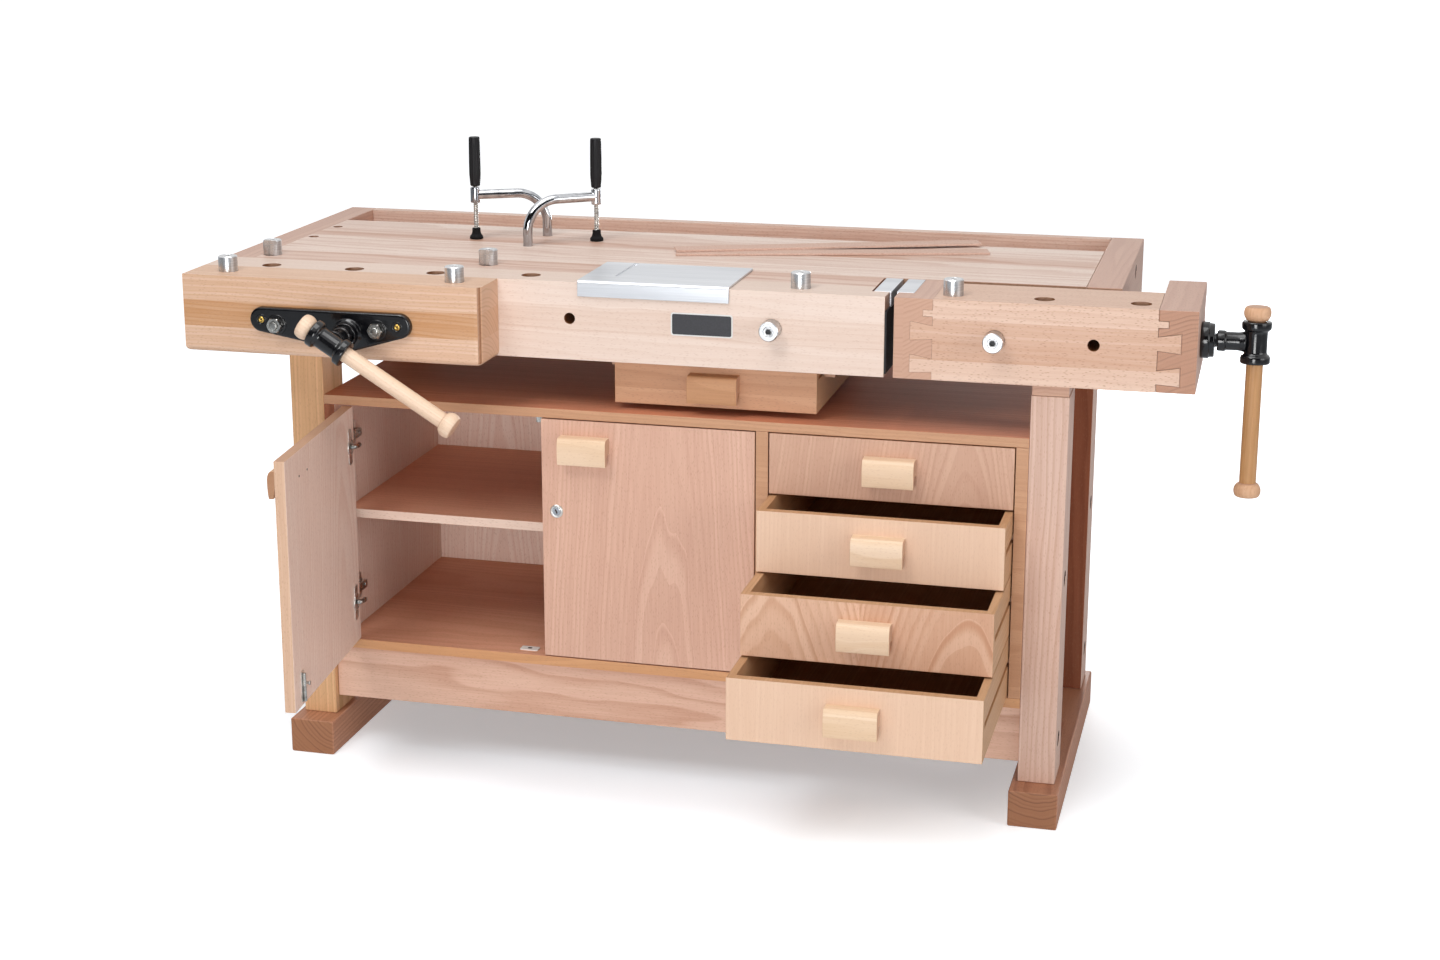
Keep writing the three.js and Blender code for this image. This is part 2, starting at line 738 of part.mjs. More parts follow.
function viseScrew(name, mouth, heading, lean, innerEnd, collarStart) {
  const axis = new THREE.Group();
  axis.position.set(...mouth);
  axis.rotation.z = THREE.MathUtils.degToRad(heading);
  bench.add(axis);
  const spin = new THREE.Group();
  spin.rotation.x = THREE.MathUtils.degToRad(lean);
  axis.add(spin);
  place(`${name}_vise_screw`, blackEnamel, teeScrew(innerEnd, collarStart), spin);
  place(`${name}_vise_handle`, turnedBeech, handle(), spin);
}

// Front vise: wooden jaw, iron plate with guide rods and nuts, screw, and the casting under the top

const jawFront = -jawThickness;
const jawBack = -seam;
const jawOutline = new THREE.Shape();
jawOutline.moveTo(0, jawBack);
jawOutline.lineTo(0, jawFront);
jawOutline.lineTo(jawLength - jawCornerRadius, jawFront);
jawOutline.absarc(jawLength - jawCornerRadius, jawFront + jawCornerRadius, jawCornerRadius,
  -Math.PI / 2, 0, false);
jawOutline.lineTo(jawLength, jawBack);
const frontBores = [
  ...guideRodPlaces.map((rodPlace) => ({ ...rodPlace, radius: guideRodRadius + slideGap })),
  { ...frontScrewPlace, radius: screwRadius + slideGap },
];
function frontBore({ x, z, radius }, front, back) {
  return rod(radius, [x, front - 1, z], [x, back + 1, z]);
}
place('front_jaw', beech, cut(
  alongZ(jawOutline, apronBottom, benchHeight),
  ...jawDogs.map((x) => verticalHole(dogHoleRadius, x, jawFront / 2, apronBottom)),
  ...frontBores.map((bore) => frontBore(bore, jawFront, jawBack)),
));

const plateBack = jawFront - seam;
const plateFront = plateBack - plateThickness;
const rodXs = guideRodPlaces.map(({ x }) => x);
const plateLeftEnd = Math.min(...rodXs) - plateLeftReach;
const plateRightEnd = Math.max(...rodXs) + plateRightReach;
const plateEndHeight = rodHeight + plateEndRise;
const plateOutline = roundedHull([
  { x: plateRightEnd, y: plateEndHeight, r: plateEndRadius },
  { x: plateLeftEnd, y: plateEndHeight, r: plateEndRadius },
  { x: frontScrewPlace.x, y: frontScrewPlace.z, r: plateBossRadius },
]);
const castingFront = apronThickness + seam;
const castingBack = castingFront + castingThickness;
const guideBack = castingBack + jawTravel + guideEngagement;
place('front_vise_plate', blackEnamel, cut(
  join(
    alongY(plateOutline, plateFront, plateBack),
    rod(bossRadius, [frontScrewPlace.x, plateFront - bossLength, frontScrewPlace.z],
      [frontScrewPlace.x, plateBack, frontScrewPlace.z]),
    ...guideRodPlaces.flatMap(({ x, z }) => [
      rod(guideRodRadius, [x, plateFront - 1, z], [x, guideBack, z]),
      rod(rodNutRadius, [x, plateFront - rodNutLength, z], [x, plateBack, z], hexSides),
    ]),
  ),
  frontBore({ ...frontScrewPlace, radius: screwRadius + slideGap }, plateFront - bossLength, plateBack),
));
viseScrew('front', [frontScrewPlace.x, jawFront, frontScrewPlace.z], -90, frontHandleLean,
  jawFront - guideBack, seam + plateThickness + bossLength + frontCollarGap);

const lowestBore = Math.min(frontScrewPlace.z - screwRadius, rodHeight - guideRodRadius);
place('front_vise_nut', greyIron, cut(
  block([Math.min(...rodXs) - guideRodRadius - castingMargin, castingFront, lowestBore - castingMargin / 2],
    [Math.max(...rodXs) + guideRodRadius + castingMargin, castingBack, panelBottom - seam]),
  ...frontBores.map((bore) => frontBore(bore, castingFront, castingBack)),
));

// Tail vise: jaw block, beam and end cap joined by lapped dovetails, flange, screw, nut and plates

// The tails and tenon at one end of the beam, wider by grow for the sockets that take them.
function dovetailTongues(rootX, outward, grow) {
  const reach = rootX + outward * (dovetailLength + grow);
  const base = rootX - outward * 2;
  const tongues = dovetails.map(({ endTop, endBottom, rootTop, rootBottom }) => [
    [base, benchHeight - rootTop + grow],
    [rootX, benchHeight - rootTop + grow],
    [reach, benchHeight - endTop + grow],
    [reach, benchHeight - endBottom - grow],
    [rootX, benchHeight - rootBottom - grow],
    [base, benchHeight - rootBottom - grow],
  ]);
  const tenonEnd = rootX + outward * (tenon.length + grow);
  tongues.push([
    [base, benchHeight - tenon.top + grow],
    [tenonEnd, benchHeight - tenon.top + grow],
    [tenonEnd, benchHeight - tenon.bottom - grow],
    [base, benchHeight - tenon.bottom - grow],
  ]);
  return tongues.map((points) => (
    alongY(outline(outward > 0 ? points.reverse() : points), -grow, beamThickness + grow)));
}

const coverBack = notchDepth - coverClearance;
const beamSection = outline([
  [0, apronBottom],
  [beamThickness, apronBottom],
  [beamThickness, benchHeight - coverThickness],
  [coverBack, benchHeight - coverThickness],
  [coverBack, benchHeight],
  [0, benchHeight],
]);
place('tail_front_beam', beech, cut(
  join(
    alongX(beamSection, beamLeft + seam, capLeft - seam),
    ...dovetailTongues(beamLeft, -1, 0),
    ...dovetailTongues(capLeft, 1, 0),
  ),
  ...[tailTopDog, ...tailTopHoles].map((x) => verticalHole(dogHoleRadius, x, dogRow, apronBottom)),
  faceHole(dogHoleRadius, tailFaceDog, beamThickness),
  faceHole(clampHoleRadius, tailFaceHole, beamThickness),
));

const blockBack = notchDepth - blockClearance;
const movingPlateLeft = jawBlockLeft - jawPlateThickness;
place('tail_jaw_block', beech, cut(
  block([jawBlockLeft, 0, apronBottom], [beamLeft, blockBack, benchHeight]),
  ...dovetailTongues(beamLeft, -1, seam),
  rod(guideBarRadius + slideGap, [jawBlockLeft - 1, guideBarPlace.y, guideBarPlace.z],
    [beamLeft + 1, guideBarPlace.y, guideBarPlace.z]),
  block([jawBlockLeft - 1, jawPlateSetback - seam, benchHeight - plateSeat],
    [movingPlateLeft + jawPlateWidth + seam, jawPlateBack + seam, benchHeight + 1]),
));
place('tail_end_cap', beech, cut(
  block([capLeft, 0, apronBottom], [capRight, capDepth, benchHeight]),
  ...dovetailTongues(capLeft, 1, seam),
  rod(screwRadius + slideGap, [capLeft - 1, tailScrewPlace.y, tailScrewPlace.z],
    [capRight + 1, tailScrewPlace.y, tailScrewPlace.z]),
));

// An angle plate over the inner edge of one jaw: a leaf on top and a leaf down the jaw's face.
function jawPlate(name, left, faceLeft) {
  const top = benchHeight + jawPlateProud;
  place(name, brightSteel, join(
    block([left, jawPlateSetback, top - jawPlateThickness], [left + jawPlateWidth, jawPlateBack, top]),
    block([faceLeft, jawPlateSetback, benchHeight - jawPlateDrop],
      [faceLeft + jawPlateThickness - seam, jawPlateBack, top]),
  ));
}
jawPlate('fixed_jaw_plate', fixedPlateLeft + jawPlateThickness, apronLength + seam);
jawPlate('tail_jaw_plate', movingPlateLeft, movingPlateLeft);

const flangeLeft = capRight + seam;
const flangeStep = flangeLeft + flangeThickness;
place('tail_vise_flange', blackEnamel, cut(
  join(
    rod(flangeRadius, [flangeLeft, tailScrewPlace.y, tailScrewPlace.z],
      [flangeStep, tailScrewPlace.y, tailScrewPlace.z]),
    rod(flangeStepRadius, [flangeStep - 1, tailScrewPlace.y, tailScrewPlace.z],
      [flangeStep + flangeStepThickness, tailScrewPlace.y, tailScrewPlace.z]),
  ),
  rod(screwRadius + slideGap, [capRight - 1, tailScrewPlace.y, tailScrewPlace.z],
    [flangeStep + flangeStepThickness + 1, tailScrewPlace.y, tailScrewPlace.z]),
));

const nutRight = topLength - nutBlockSetback;
const nutLeft = nutRight - nutBlockThickness;
const tailScrewEnd = nutLeft - tailTravel - nutBlockMargin;
viseScrew('tail', [capRight, tailScrewPlace.y, tailScrewPlace.z], 0, tailHandleLean,
  tailScrewEnd - capRight, seam + flangeThickness + flangeStepThickness + tailCollarGap);
place('tail_vise_nut', greyIron, cut(
  join(
    block([nutLeft, beamThickness + slideGap, guideBarPlace.z - guideBarRadius],
      [nutRight, notchDepth - seam, tailScrewPlace.z + screwRadius + nutBlockMargin]),
    rod(guideBarRadius, [jawBlockLeft + guideBarInset, guideBarPlace.y, guideBarPlace.z],
      [nutLeft + 1, guideBarPlace.y, guideBarPlace.z]),
  ),
  rod(screwRadius + slideGap, [nutLeft - 1, tailScrewPlace.y, tailScrewPlace.z],
    [nutRight + 1, tailScrewPlace.y, tailScrewPlace.z]),
));

// Dogs: round pegs with a bevelled rim and a socket, drawn upright with the bench face at Z = 0

function dog(shank) {
  return turned([
    [0, -shank],
    [dogRadius - dogChamfer, -shank],
    [dogRadius, dogChamfer - shank],
    [dogRadius, dogProud - dogChamfer],
    [dogRadius - dogChamfer, dogProud],
    [dogSocketRadius, dogProud],
    [dogSocketRadius, dogProud - dogSocketDepth],
    [0, dogProud - dogSocketDepth],
  ], [0, 0, 0], [0, 0, 1]);
}

function topDog(name, x, y, geometry = dog(topDogShank)) {
  place(name, aluminium, geometry).position.set(x, y, benchHeight);
}

function faceDog(name, x) {
  const peg = place(name, aluminium, dog(faceDogShank));
  peg.position.set(x, 0, faceHoleHeight);
  peg.rotation.x = Math.PI / 2;
}

// A dog with a flat on the front of its head that leans over towards the jaw.
function wedgeDog() {
  const cutter = alongX(outline([
    [-2 * dogRadius, 0],
    [wedgeCutBottom - dogRadius, 0],
    [wedgeCutTop - dogRadius, dogProud + 1],
    [-2 * dogRadius, dogProud + 1],
  ]), -2 * dogRadius, 2 * dogRadius);
  return cut(dog(topDogShank), cutter);
}

['left', 'right'].forEach((side, i) => {
  topDog(`jaw_dog_${side}`, jawDogs[i], jawFront / 2);
  topDog(`wedge_dog_${side}`, wedgeDogs[i], wedgeRow, wedgeDog());
});
topDog('apron_dog_top', apronTopDog, dogRow);
topDog('tail_dog_top', tailTopDog, dogRow);
faceDog('apron_dog_front', apronFaceDog);
faceDog('tail_dog_front', tailFaceDog);

// Bench plate: a steel angle that hooks over the apron's edge, with a groove in its top leaf

const benchPlateTop = benchHeight + seam + benchPlateThickness;
const benchPlateFront = -seam - benchPlateThickness;
const plateSection = new THREE.Shape();
plateSection.moveTo(benchPlateDepth, benchPlateTop);
plateSection.lineTo(benchPlateFront + benchPlateBend, benchPlateTop);
plateSection.absarc(benchPlateFront + benchPlateBend, benchPlateTop - benchPlateBend, benchPlateBend,
  Math.PI / 2, Math.PI, false);
plateSection.lineTo(benchPlateFront, benchPlateTop - benchPlateDrop);
plateSection.lineTo(-seam, benchPlateTop - benchPlateDrop);
plateSection.lineTo(-seam, benchHeight + seam);
plateSection.lineTo(benchPlateDepth, benchHeight + seam);
const grooveLeft = benchPlateLeft + grooveInset;
place('bench_plate', brightSteel, cut(
  alongX(plateSection, benchPlateLeft, benchPlateLeft + benchPlateWidth),
  block([grooveLeft, grooveSetback, benchPlateTop - grooveDepth],
    [grooveLeft + grooveWidth, benchPlateDepth - grooveBackMargin, benchPlateTop + 1]),
));

// Hold-downs: bent post with a boss, spindle with a grip, and a swivelling pad

// The bent arm's centre line: up the post, round the bend and out to the boss.
class BentArm extends THREE.Curve {
  getPoint(t, target = new THREE.Vector3()) {
    const rise = postBelow + armRise - armBend;
    const bend = (armBend * Math.PI) / 2;
    const reach = armReach - armBend;
    const s = t * (rise + bend + reach);
    if (s < rise) return target.set(0, 0, s - postBelow);
    if (s > rise + bend) return target.set(armBend + s - rise - bend, 0, armRise);
    const angle = (s - rise) / armBend;
    return target.set(armBend * (1 - Math.cos(angle)), 0, armRise - armBend * (1 - Math.sin(angle)));
  }
}

function holdArm() {
  const section = new THREE.Shape();
  section.absarc(0, 0, postRadius, 0, 2 * Math.PI, false);
  const tube = new THREE.ExtrudeGeometry(section, {
    steps: tubeSteps, curveSegments: tubeSides / 2, extrudePath: new BentArm(),
  });
  const bossLow = armRise - holdBossHeight / 2;
  const bossHigh = armRise + holdBossHeight / 2;
  const boss = rod(holdBossRadius, [armReach, 0, bossLow], [armReach, 0, bossHigh], tubeSides);
  const boreRadius = spindleRadius + slideGap;
  const bore = rod(boreRadius, [armReach, 0, bossLow - 1], [armReach, 0, bossHigh + 1], tubeSides);
  return cut(join(tube, boss), bore);
}

function spindle() {
  const foot = padHeight - padSocketDepth + 2 * seam;
  const gripBottom = armRise + holdBossHeight / 2 + gripClearance;
  return turned([
    [0, foot],
    [spindleRadius, foot],
    [spindleRadius, gripBottom],
    ...gripShape.map(([r, t]) => [r * gripRadius, gripBottom + t * gripLength]),
    [0, gripBottom + gripLength],
  ], [armReach, 0, 0], [0, 0, 1]);
}

function pad() {
  const socket = spindleRadius + slideGap;
  return turned([
    [0, seam],
    [padRadius, seam],
    [padRadius, padRimHeight],
    [padNeckRadius, padHeight - padNeckHeight],
    [padNeckRadius, padHeight],
    [socket, padHeight],
    [socket, padHeight - padSocketDepth],
    [0, padHeight - padSocketDepth],
  ], [armReach, 0, 0], [0, 0, 1]);
}

['front', 'rear'].forEach((row, i) => {
  const post = new THREE.Group();
  post.position.set(holdColumn, holdRows[i], benchHeight);
  post.rotation.z = THREE.MathUtils.degToRad(holdSwings[i]);
  bench.add(post);
  place(`${row}_holddown_arm`, chrome, holdArm(), post);
  place(`${row}_holddown_spindle`, blackPlastic, spindle(), post);
  place(`${row}_holddown_pad`, blackPlastic, pad(), post);
});

// The origin is on the floor, under the middle of the bench's box.
const extent = new THREE.Box3().setFromObject(bench, true);
const middle = extent.getCenter(new THREE.Vector3());
bench.position.set(-middle.x, -middle.y, -extent.min.z);
bench.updateMatrixWorld(true);

export default bench;
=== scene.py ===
import json

import bmesh
import bpy
import numpy as np
from mathutils import Euler, Matrix, Vector


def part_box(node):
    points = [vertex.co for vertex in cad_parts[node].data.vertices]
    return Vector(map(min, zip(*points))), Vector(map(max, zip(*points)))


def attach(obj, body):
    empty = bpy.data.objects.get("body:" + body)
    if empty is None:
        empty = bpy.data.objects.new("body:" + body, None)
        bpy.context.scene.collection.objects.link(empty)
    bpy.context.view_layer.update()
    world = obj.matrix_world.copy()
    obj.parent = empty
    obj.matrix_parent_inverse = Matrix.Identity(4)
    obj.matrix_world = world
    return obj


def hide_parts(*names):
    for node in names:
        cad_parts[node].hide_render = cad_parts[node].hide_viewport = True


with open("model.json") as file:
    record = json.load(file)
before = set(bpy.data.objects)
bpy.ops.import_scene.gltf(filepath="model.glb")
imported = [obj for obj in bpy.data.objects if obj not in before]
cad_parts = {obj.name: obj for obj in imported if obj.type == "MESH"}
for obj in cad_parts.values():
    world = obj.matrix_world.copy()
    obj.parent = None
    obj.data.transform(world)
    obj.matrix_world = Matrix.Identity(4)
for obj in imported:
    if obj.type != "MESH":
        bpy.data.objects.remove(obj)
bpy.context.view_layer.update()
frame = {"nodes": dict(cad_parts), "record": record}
scene = bpy.context.scene
scene.view_settings.view_transform = "Standard"

# Bench millimetres: X from the apron's left end, Y back from the apron's front face, Z up from the floor
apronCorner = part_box("front_apron")[0]
benchZero = np.array([apronCorner.x, apronCorner.y, 0.0])
nodeBody = {node: body for body, nodes in frame["record"]["behaviour"]["bodies"].items() for node in nodes}
nodeSlot = {part["node"]: part["material_slot"] for part in frame["record"]["subparts"]}
toRight = (1, 0, 0)
toBack = (0, 1, 0)
toFront = (0, -1, 0)
toTop = (0, 0, 1)
frontLean = 58.5    # lean of the front vise's handle to the right, in degrees
tailLean = 3    # lean of the tail vise's handle to the front


def toFrame(millimetres):
    return benchZero + np.asarray(millimetres, float) * 0.001


def toBench(metres):
    return (np.asarray(metres, float) - benchZero) * 1000


# A node's lowest and highest corners in bench millimetres
def benchBox(node):
    return [toBench(corner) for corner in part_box(node)]


def unit(vector):
    vector = np.asarray(vector, float)
    return vector / np.linalg.norm(vector)


# Downwards, leaning by some degrees towards a direction: sin * towards - cos * up
def leaning(towards, degrees):
    return np.sin(np.radians(degrees)) * np.array(towards) - np.cos(np.radians(degrees)) * np.array(toTop)


print("frame loaded:", len(frame["nodes"]), "nodes")

# Camera: fitted to the photograph, in bench millimetres and in pixels of 1440 x 960
view = {
    "place": (1787.6, -3556.9, 1572.4),
    "yaw": 0.2677,
    "pitch": -0.2526,
    "roll": -0.0044,
    "focal": 2324.9,
    "centre": (666.0, 430.2),
    "picture": (1440, 960),
    "sensor": 36.0,
}
cosPitch = np.cos(view["pitch"])
forward = np.array([-np.sin(view["yaw"]) * cosPitch, np.cos(view["yaw"]) * cosPitch, np.sin(view["pitch"])])
level = np.array([np.cos(view["yaw"]), np.sin(view["yaw"]), 0])
upright = np.cross(level, forward)
tilt = np.array([np.cos(view["roll"]), np.sin(view["roll"])])
pictureRight = tilt[0] * level + tilt[1] * upright
pictureUp = tilt[0] * upright - tilt[1] * level
cameraAxes = np.stack([pictureRight, pictureUp, -forward], axis=1)
cameraData = bpy.data.cameras.new("camera")
cameraData.sensor_width = view["sensor"]
cameraData.lens = view["focal"] / view["picture"][0] * view["sensor"]
cameraData.shift_x = (view["picture"][0] / 2 - view["centre"][0]) / view["picture"][0]
cameraData.shift_y = (view["centre"][1] - view["picture"][1] / 2) / view["picture"][0]
camera = bpy.data.objects.new("camera", cameraData)
camera.matrix_world = Matrix.Translation(toFrame(view["place"])) @ Matrix(cameraAxes.tolist()).to_4x4()
scene.collection.objects.link(camera)
scene.camera = camera
print("camera set, lens", round(cameraData.lens, 2))


# Materials

# An sRGB hex colour as linear values
def colour(code):
    channels = np.array([int(code[i:i + 2], 16) for i in (0, 2, 4)]) / 255
    linear = np.where(channels <= 0.04045, channels / 12.92, ((channels + 0.055) / 1.055) ** 2.4)
    return (*linear.tolist(), 1.0)


# Adds a node: settings are its properties, inputs are sockets to link or values to set
def addNode(tree, kind, inputs=None, **settings):
    node = tree.nodes.new(kind)
    for name, value in settings.items():
        setattr(node, name, value)
    for key, value in (inputs or {}).items():
        if isinstance(value, bpy.types.NodeSocket):
            tree.links.new(value, node.inputs[key])
        else:
            node.inputs[key].default_value = value
    return node.outputs


def newFinish(name):
    finish = bpy.data.materials.new(name)
    finish.use_nodes = True
    finish.node_tree.nodes.clear()
    return finish, finish.node_tree


# Repeats to each millimetre, from a pattern's size in millimetres
def repeats(size):
    return tuple(1 / np.array(size, float))


# Turns that bring the grain to X: along the bench, across it, upright, and along the front vise's handle
grainTurns = {
    "x": (0, 0, 0),
    "y": (0, 0, -np.pi / 2),
    "z": (0, np.pi / 2, 0),
    "handle": (0, np.radians(frontLean) - np.pi / 2, 0),
}
grainAxes = {"x": toRight, "y": toBack, "z": toTop, "handle": tuple(leaning(toRight, frontLean))}

# Usual look of sawn and oiled beech. Lengths in millimetres, along the grain first.
# Growth rings of 2 to 4 mm and ray flecks under 1 mm are drawn about twice as coarse, so that they show
beechUsual = {
    "grain": "x",
    "light": "e9d2c4",
    "dark": "c99f88",
    "fleck": "a87659",
    "end": "c39a80",
    "stave": (4000, 450, 450),
    "shift": (0.5, 0.0, 0.0),
    "pith": (0, 30, 40),
    "spread": (900, 120, 60),
    "ring": 6.5,
    "lateRise": (0.35, 0.85),    # late wood darkens between these shares of a ring
    "lateFall": (0.88, 1.0),
    "lateMean": 0.15,    # how dark late wood makes a board on average
    "taper": 0.012,
    "wander": 16,
    "cloudSize": (320, 60, 60),
    "fibreSize": (70, 2, 2),
    "fleckSize": (9, 2.6, 2.6),
    "fleckCore": (0.12, 0.34),    # a fleck fades out between these shares of its size
    "staveTone": 0.35,
    "ringTone": 0.3,
    "lateTone": 0.34,
    "fibreTone": 0.5,
    "cloudTone": 0.3,
    "endTone": 0.45,
    "endFacing": (0.6, 0.95),    # how squarely a surface cuts the grain before it counts as end grain
    "endShare": 0.75,
    "fleckShare": 0.3,
    "rough": 0.5,
    "roughSpread": 0.16,
    "shine": 0.5,    # less than a half for bare, open-pored wood
    "relief": 0.12,
    "lateRelief": 0.4,
    "reliefDepth": 0.0004,    # in metres
}


# Beech, sawn and oiled or lacquered: rings round a pith, long fibres and short dark ray flecks give the eye
# soft bands along the grain, arcs on flat cuts and curved lines on end grain
def beech(name, **changes):
    look = {**beechUsual, **changes}
    finish, tree = newFinish(name)
    stave = np.array(look["stave"], float)
    turn = Euler(grainTurns[look["grain"]])
    start = turn.to_matrix() @ Vector(-benchZero * 1000)
    place = addNode(tree, "ShaderNodeTexCoord")
    grain = addNode(tree, "ShaderNodeMapping", {"Vector": place["Object"], "Rotation": turn,
                                                "Location": start, "Scale": (1000, 1000, 1000)})[0]
    # each stave has its own pith, found from its place in a grid of staves
    grid = addNode(tree, "ShaderNodeVectorMath", {0: grain, 1: repeats(stave), 2: look["shift"]},
                   operation="MULTIPLY_ADD")[0]
    cell = addNode(tree, "ShaderNodeVectorMath", {0: grid}, operation="FLOOR")[0]
    inside = addNode(tree, "ShaderNodeVectorMath", {0: grid}, operation="FRACTION")[0]
    chance = addNode(tree, "ShaderNodeTexWhiteNoise", {"Vector": cell}, noise_dimensions="3D")
    fromPith = tuple(np.array(look["pith"]) - stave / 2)
    centred = addNode(tree, "ShaderNodeVectorMath", {0: inside, 1: tuple(stave), 2: fromPith},
                      operation="MULTIPLY_ADD")[0]
    local = addNode(tree, "ShaderNodeVectorMath", {0: chance["Color"], 1: look["spread"], 2: centred},
                    operation="MULTIPLY_ADD")[0]
    # distance from the pith, bent by a slow noise and by the trunk's taper, counted in rings
    slow, thin, dashes = [addNode(tree, "ShaderNodeVectorMath", {0: local, 1: repeats(look[size])},
                                  operation="MULTIPLY")[0]
                          for size in ("cloudSize", "fibreSize", "fleckSize")]
    cloud = addNode(tree, "ShaderNodeTexNoise", {"Vector": slow, "Scale": 1, "Detail": 2})[0]
    across = addNode(tree, "ShaderNodeVectorMath", {0: local, 1: (0, 1, 1)}, operation="MULTIPLY")[0]
    radius = addNode(tree, "ShaderNodeVectorMath", {0: across}, operation="LENGTH")["Value"]
    bent = addNode(tree, "ShaderNodeMath", {0: cloud, 1: look["wander"], 2: radius},
                   operation="MULTIPLY_ADD")[0]
    along = addNode(tree, "ShaderNodeSeparateXYZ", {0: local})[0]
    tapered = addNode(tree, "ShaderNodeMath", {0: along, 1: look["taper"], 2: bent},
                      operation="MULTIPLY_ADD")[0]
    rings = addNode(tree, "ShaderNodeMath", {0: tapered, 1: look["ring"]}, operation="DIVIDE")[0]
    phase = addNode(tree, "ShaderNodeMath", {0: rings}, operation="FRACT")[0]
    number = addNode(tree, "ShaderNodeMath", {0: rings}, operation="FLOOR")[0]
    ringChance = addNode(tree, "ShaderNodeTexWhiteNoise", {"W": number}, noise_dimensions="1D")["Value"]
    rise = addNode(tree, "ShaderNodeMapRange", {"Value": phase, "From Min": look["lateRise"][0],
                                                "From Max": look["lateRise"][1]},
                   interpolation_type="SMOOTHSTEP")[0]
    fall = addNode(tree, "ShaderNodeMapRange", {"Value": phase, "From Min": look["lateFall"][0],
                                                "From Max": look["lateFall"][1],
                                                "To Min": 1.0, "To Max": 0.0},
                   interpolation_type="SMOOTHSTEP")[0]
    late = addNode(tree, "ShaderNodeMath", {0: rise, 1: fall}, operation="MULTIPLY")[0]
    late = addNode(tree, "ShaderNodeMath", {0: late, 1: ringChance}, operation="MULTIPLY")[0]
    fibre = addNode(tree, "ShaderNodeTexNoise", {"Vector": thin, "Scale": 1, "Detail": 3,
                                                 "Roughness": 0.6})[0]
    # tone from 0, dark, to 1, light: each pattern adds its share, round a middle that keeps the average
    swing = look["staveTone"] + look["ringTone"] + look["fibreTone"] + look["cloudTone"]
    tone = 0.5 - swing / 2 + look["lateTone"] * look["lateMean"]
    for pattern, share in ((chance["Value"], look["staveTone"]), (ringChance, look["ringTone"]),
                           (fibre, look["fibreTone"]), (cloud, look["cloudTone"])):
        tone = addNode(tree, "ShaderNodeMath", {0: pattern, 1: share, 2: tone}, operation="MULTIPLY_ADD")[0]
    tone = addNode(tree, "ShaderNodeMath", {0: late, 1: -look["lateTone"], 2: tone}, operation="MULTIPLY_ADD",
                   use_clamp=True)[0]
    base = addNode(tree, "ShaderNodeMix", {0: tone, 6: colour(look["dark"]), 7: colour(look["light"])},
                   data_type="RGBA")[2]
    # ray flecks
    spots = addNode(tree, "ShaderNodeTexVoronoi", {"Vector": dashes, "Scale": 1})
    core = addNode(tree, "ShaderNodeMapRange", {"Value": spots["Distance"], "From Min": look["fleckCore"][0],
                                                "From Max": look["fleckCore"][1],
                                                "To Min": look["fleckShare"], "To Max": 0.0},
                   interpolation_type="SMOOTHSTEP")[0]
    base = addNode(tree, "ShaderNodeMix", {0: core, 6: base, 7: colour(look["fleck"])}, data_type="RGBA")[2]
    # end grain is darker and shows its rings as lines, where the surface faces along the grain
    facing = addNode(tree, "ShaderNodeVectorMath", {0: place["Normal"], 1: grainAxes[look["grain"]]},
                     operation="DOT_PRODUCT")["Value"]
    facing = addNode(tree, "ShaderNodeMath", {0: facing}, operation="ABSOLUTE")[0]
    endShare = addNode(tree, "ShaderNodeMapRange", {"Value": facing, "From Min": look["endFacing"][0],
                                                    "From Max": look["endFacing"][1],
                                                    "To Max": look["endShare"]},
                       interpolation_type="SMOOTHSTEP")[0]
    endLine = addNode(tree, "ShaderNodeMath", {0: late, 1: look["endTone"]}, operation="MULTIPLY")[0]
    endWood = addNode(tree, "ShaderNodeMix", {0: endLine, 6: colour(look["end"]), 7: colour(look["fleck"])},
                      data_type="RGBA")[2]
    base = addNode(tree, "ShaderNodeMix", {0: endShare, 6: base, 7: endWood}, data_type="RGBA")[2]
    smoothest = look["rough"] - look["roughSpread"] / 2
    sheen = addNode(tree, "ShaderNodeMath", {0: fibre, 1: look["roughSpread"], 2: smoothest},
                    operation="MULTIPLY_ADD")[0]
    relief = addNode(tree, "ShaderNodeMath", {0: late, 1: look["lateRelief"], 2: fibre},
                     operation="MULTIPLY_ADD")[0]
    bump = addNode(tree, "ShaderNodeBump", {"Height": relief, "Strength": look["relief"],
                                            "Distance": look["reliefDepth"]})[0]
    shader = addNode(tree, "ShaderNodeBsdfPrincipled", {"Base Color": base, "Roughness": sheen,
                                                        "Normal": bump, "IOR": 1.5,
                                                        "Specular IOR Level": look["shine"]})[0]
    addNode(tree, "ShaderNodeOutputMaterial", {"Surface": shader})
    return finish


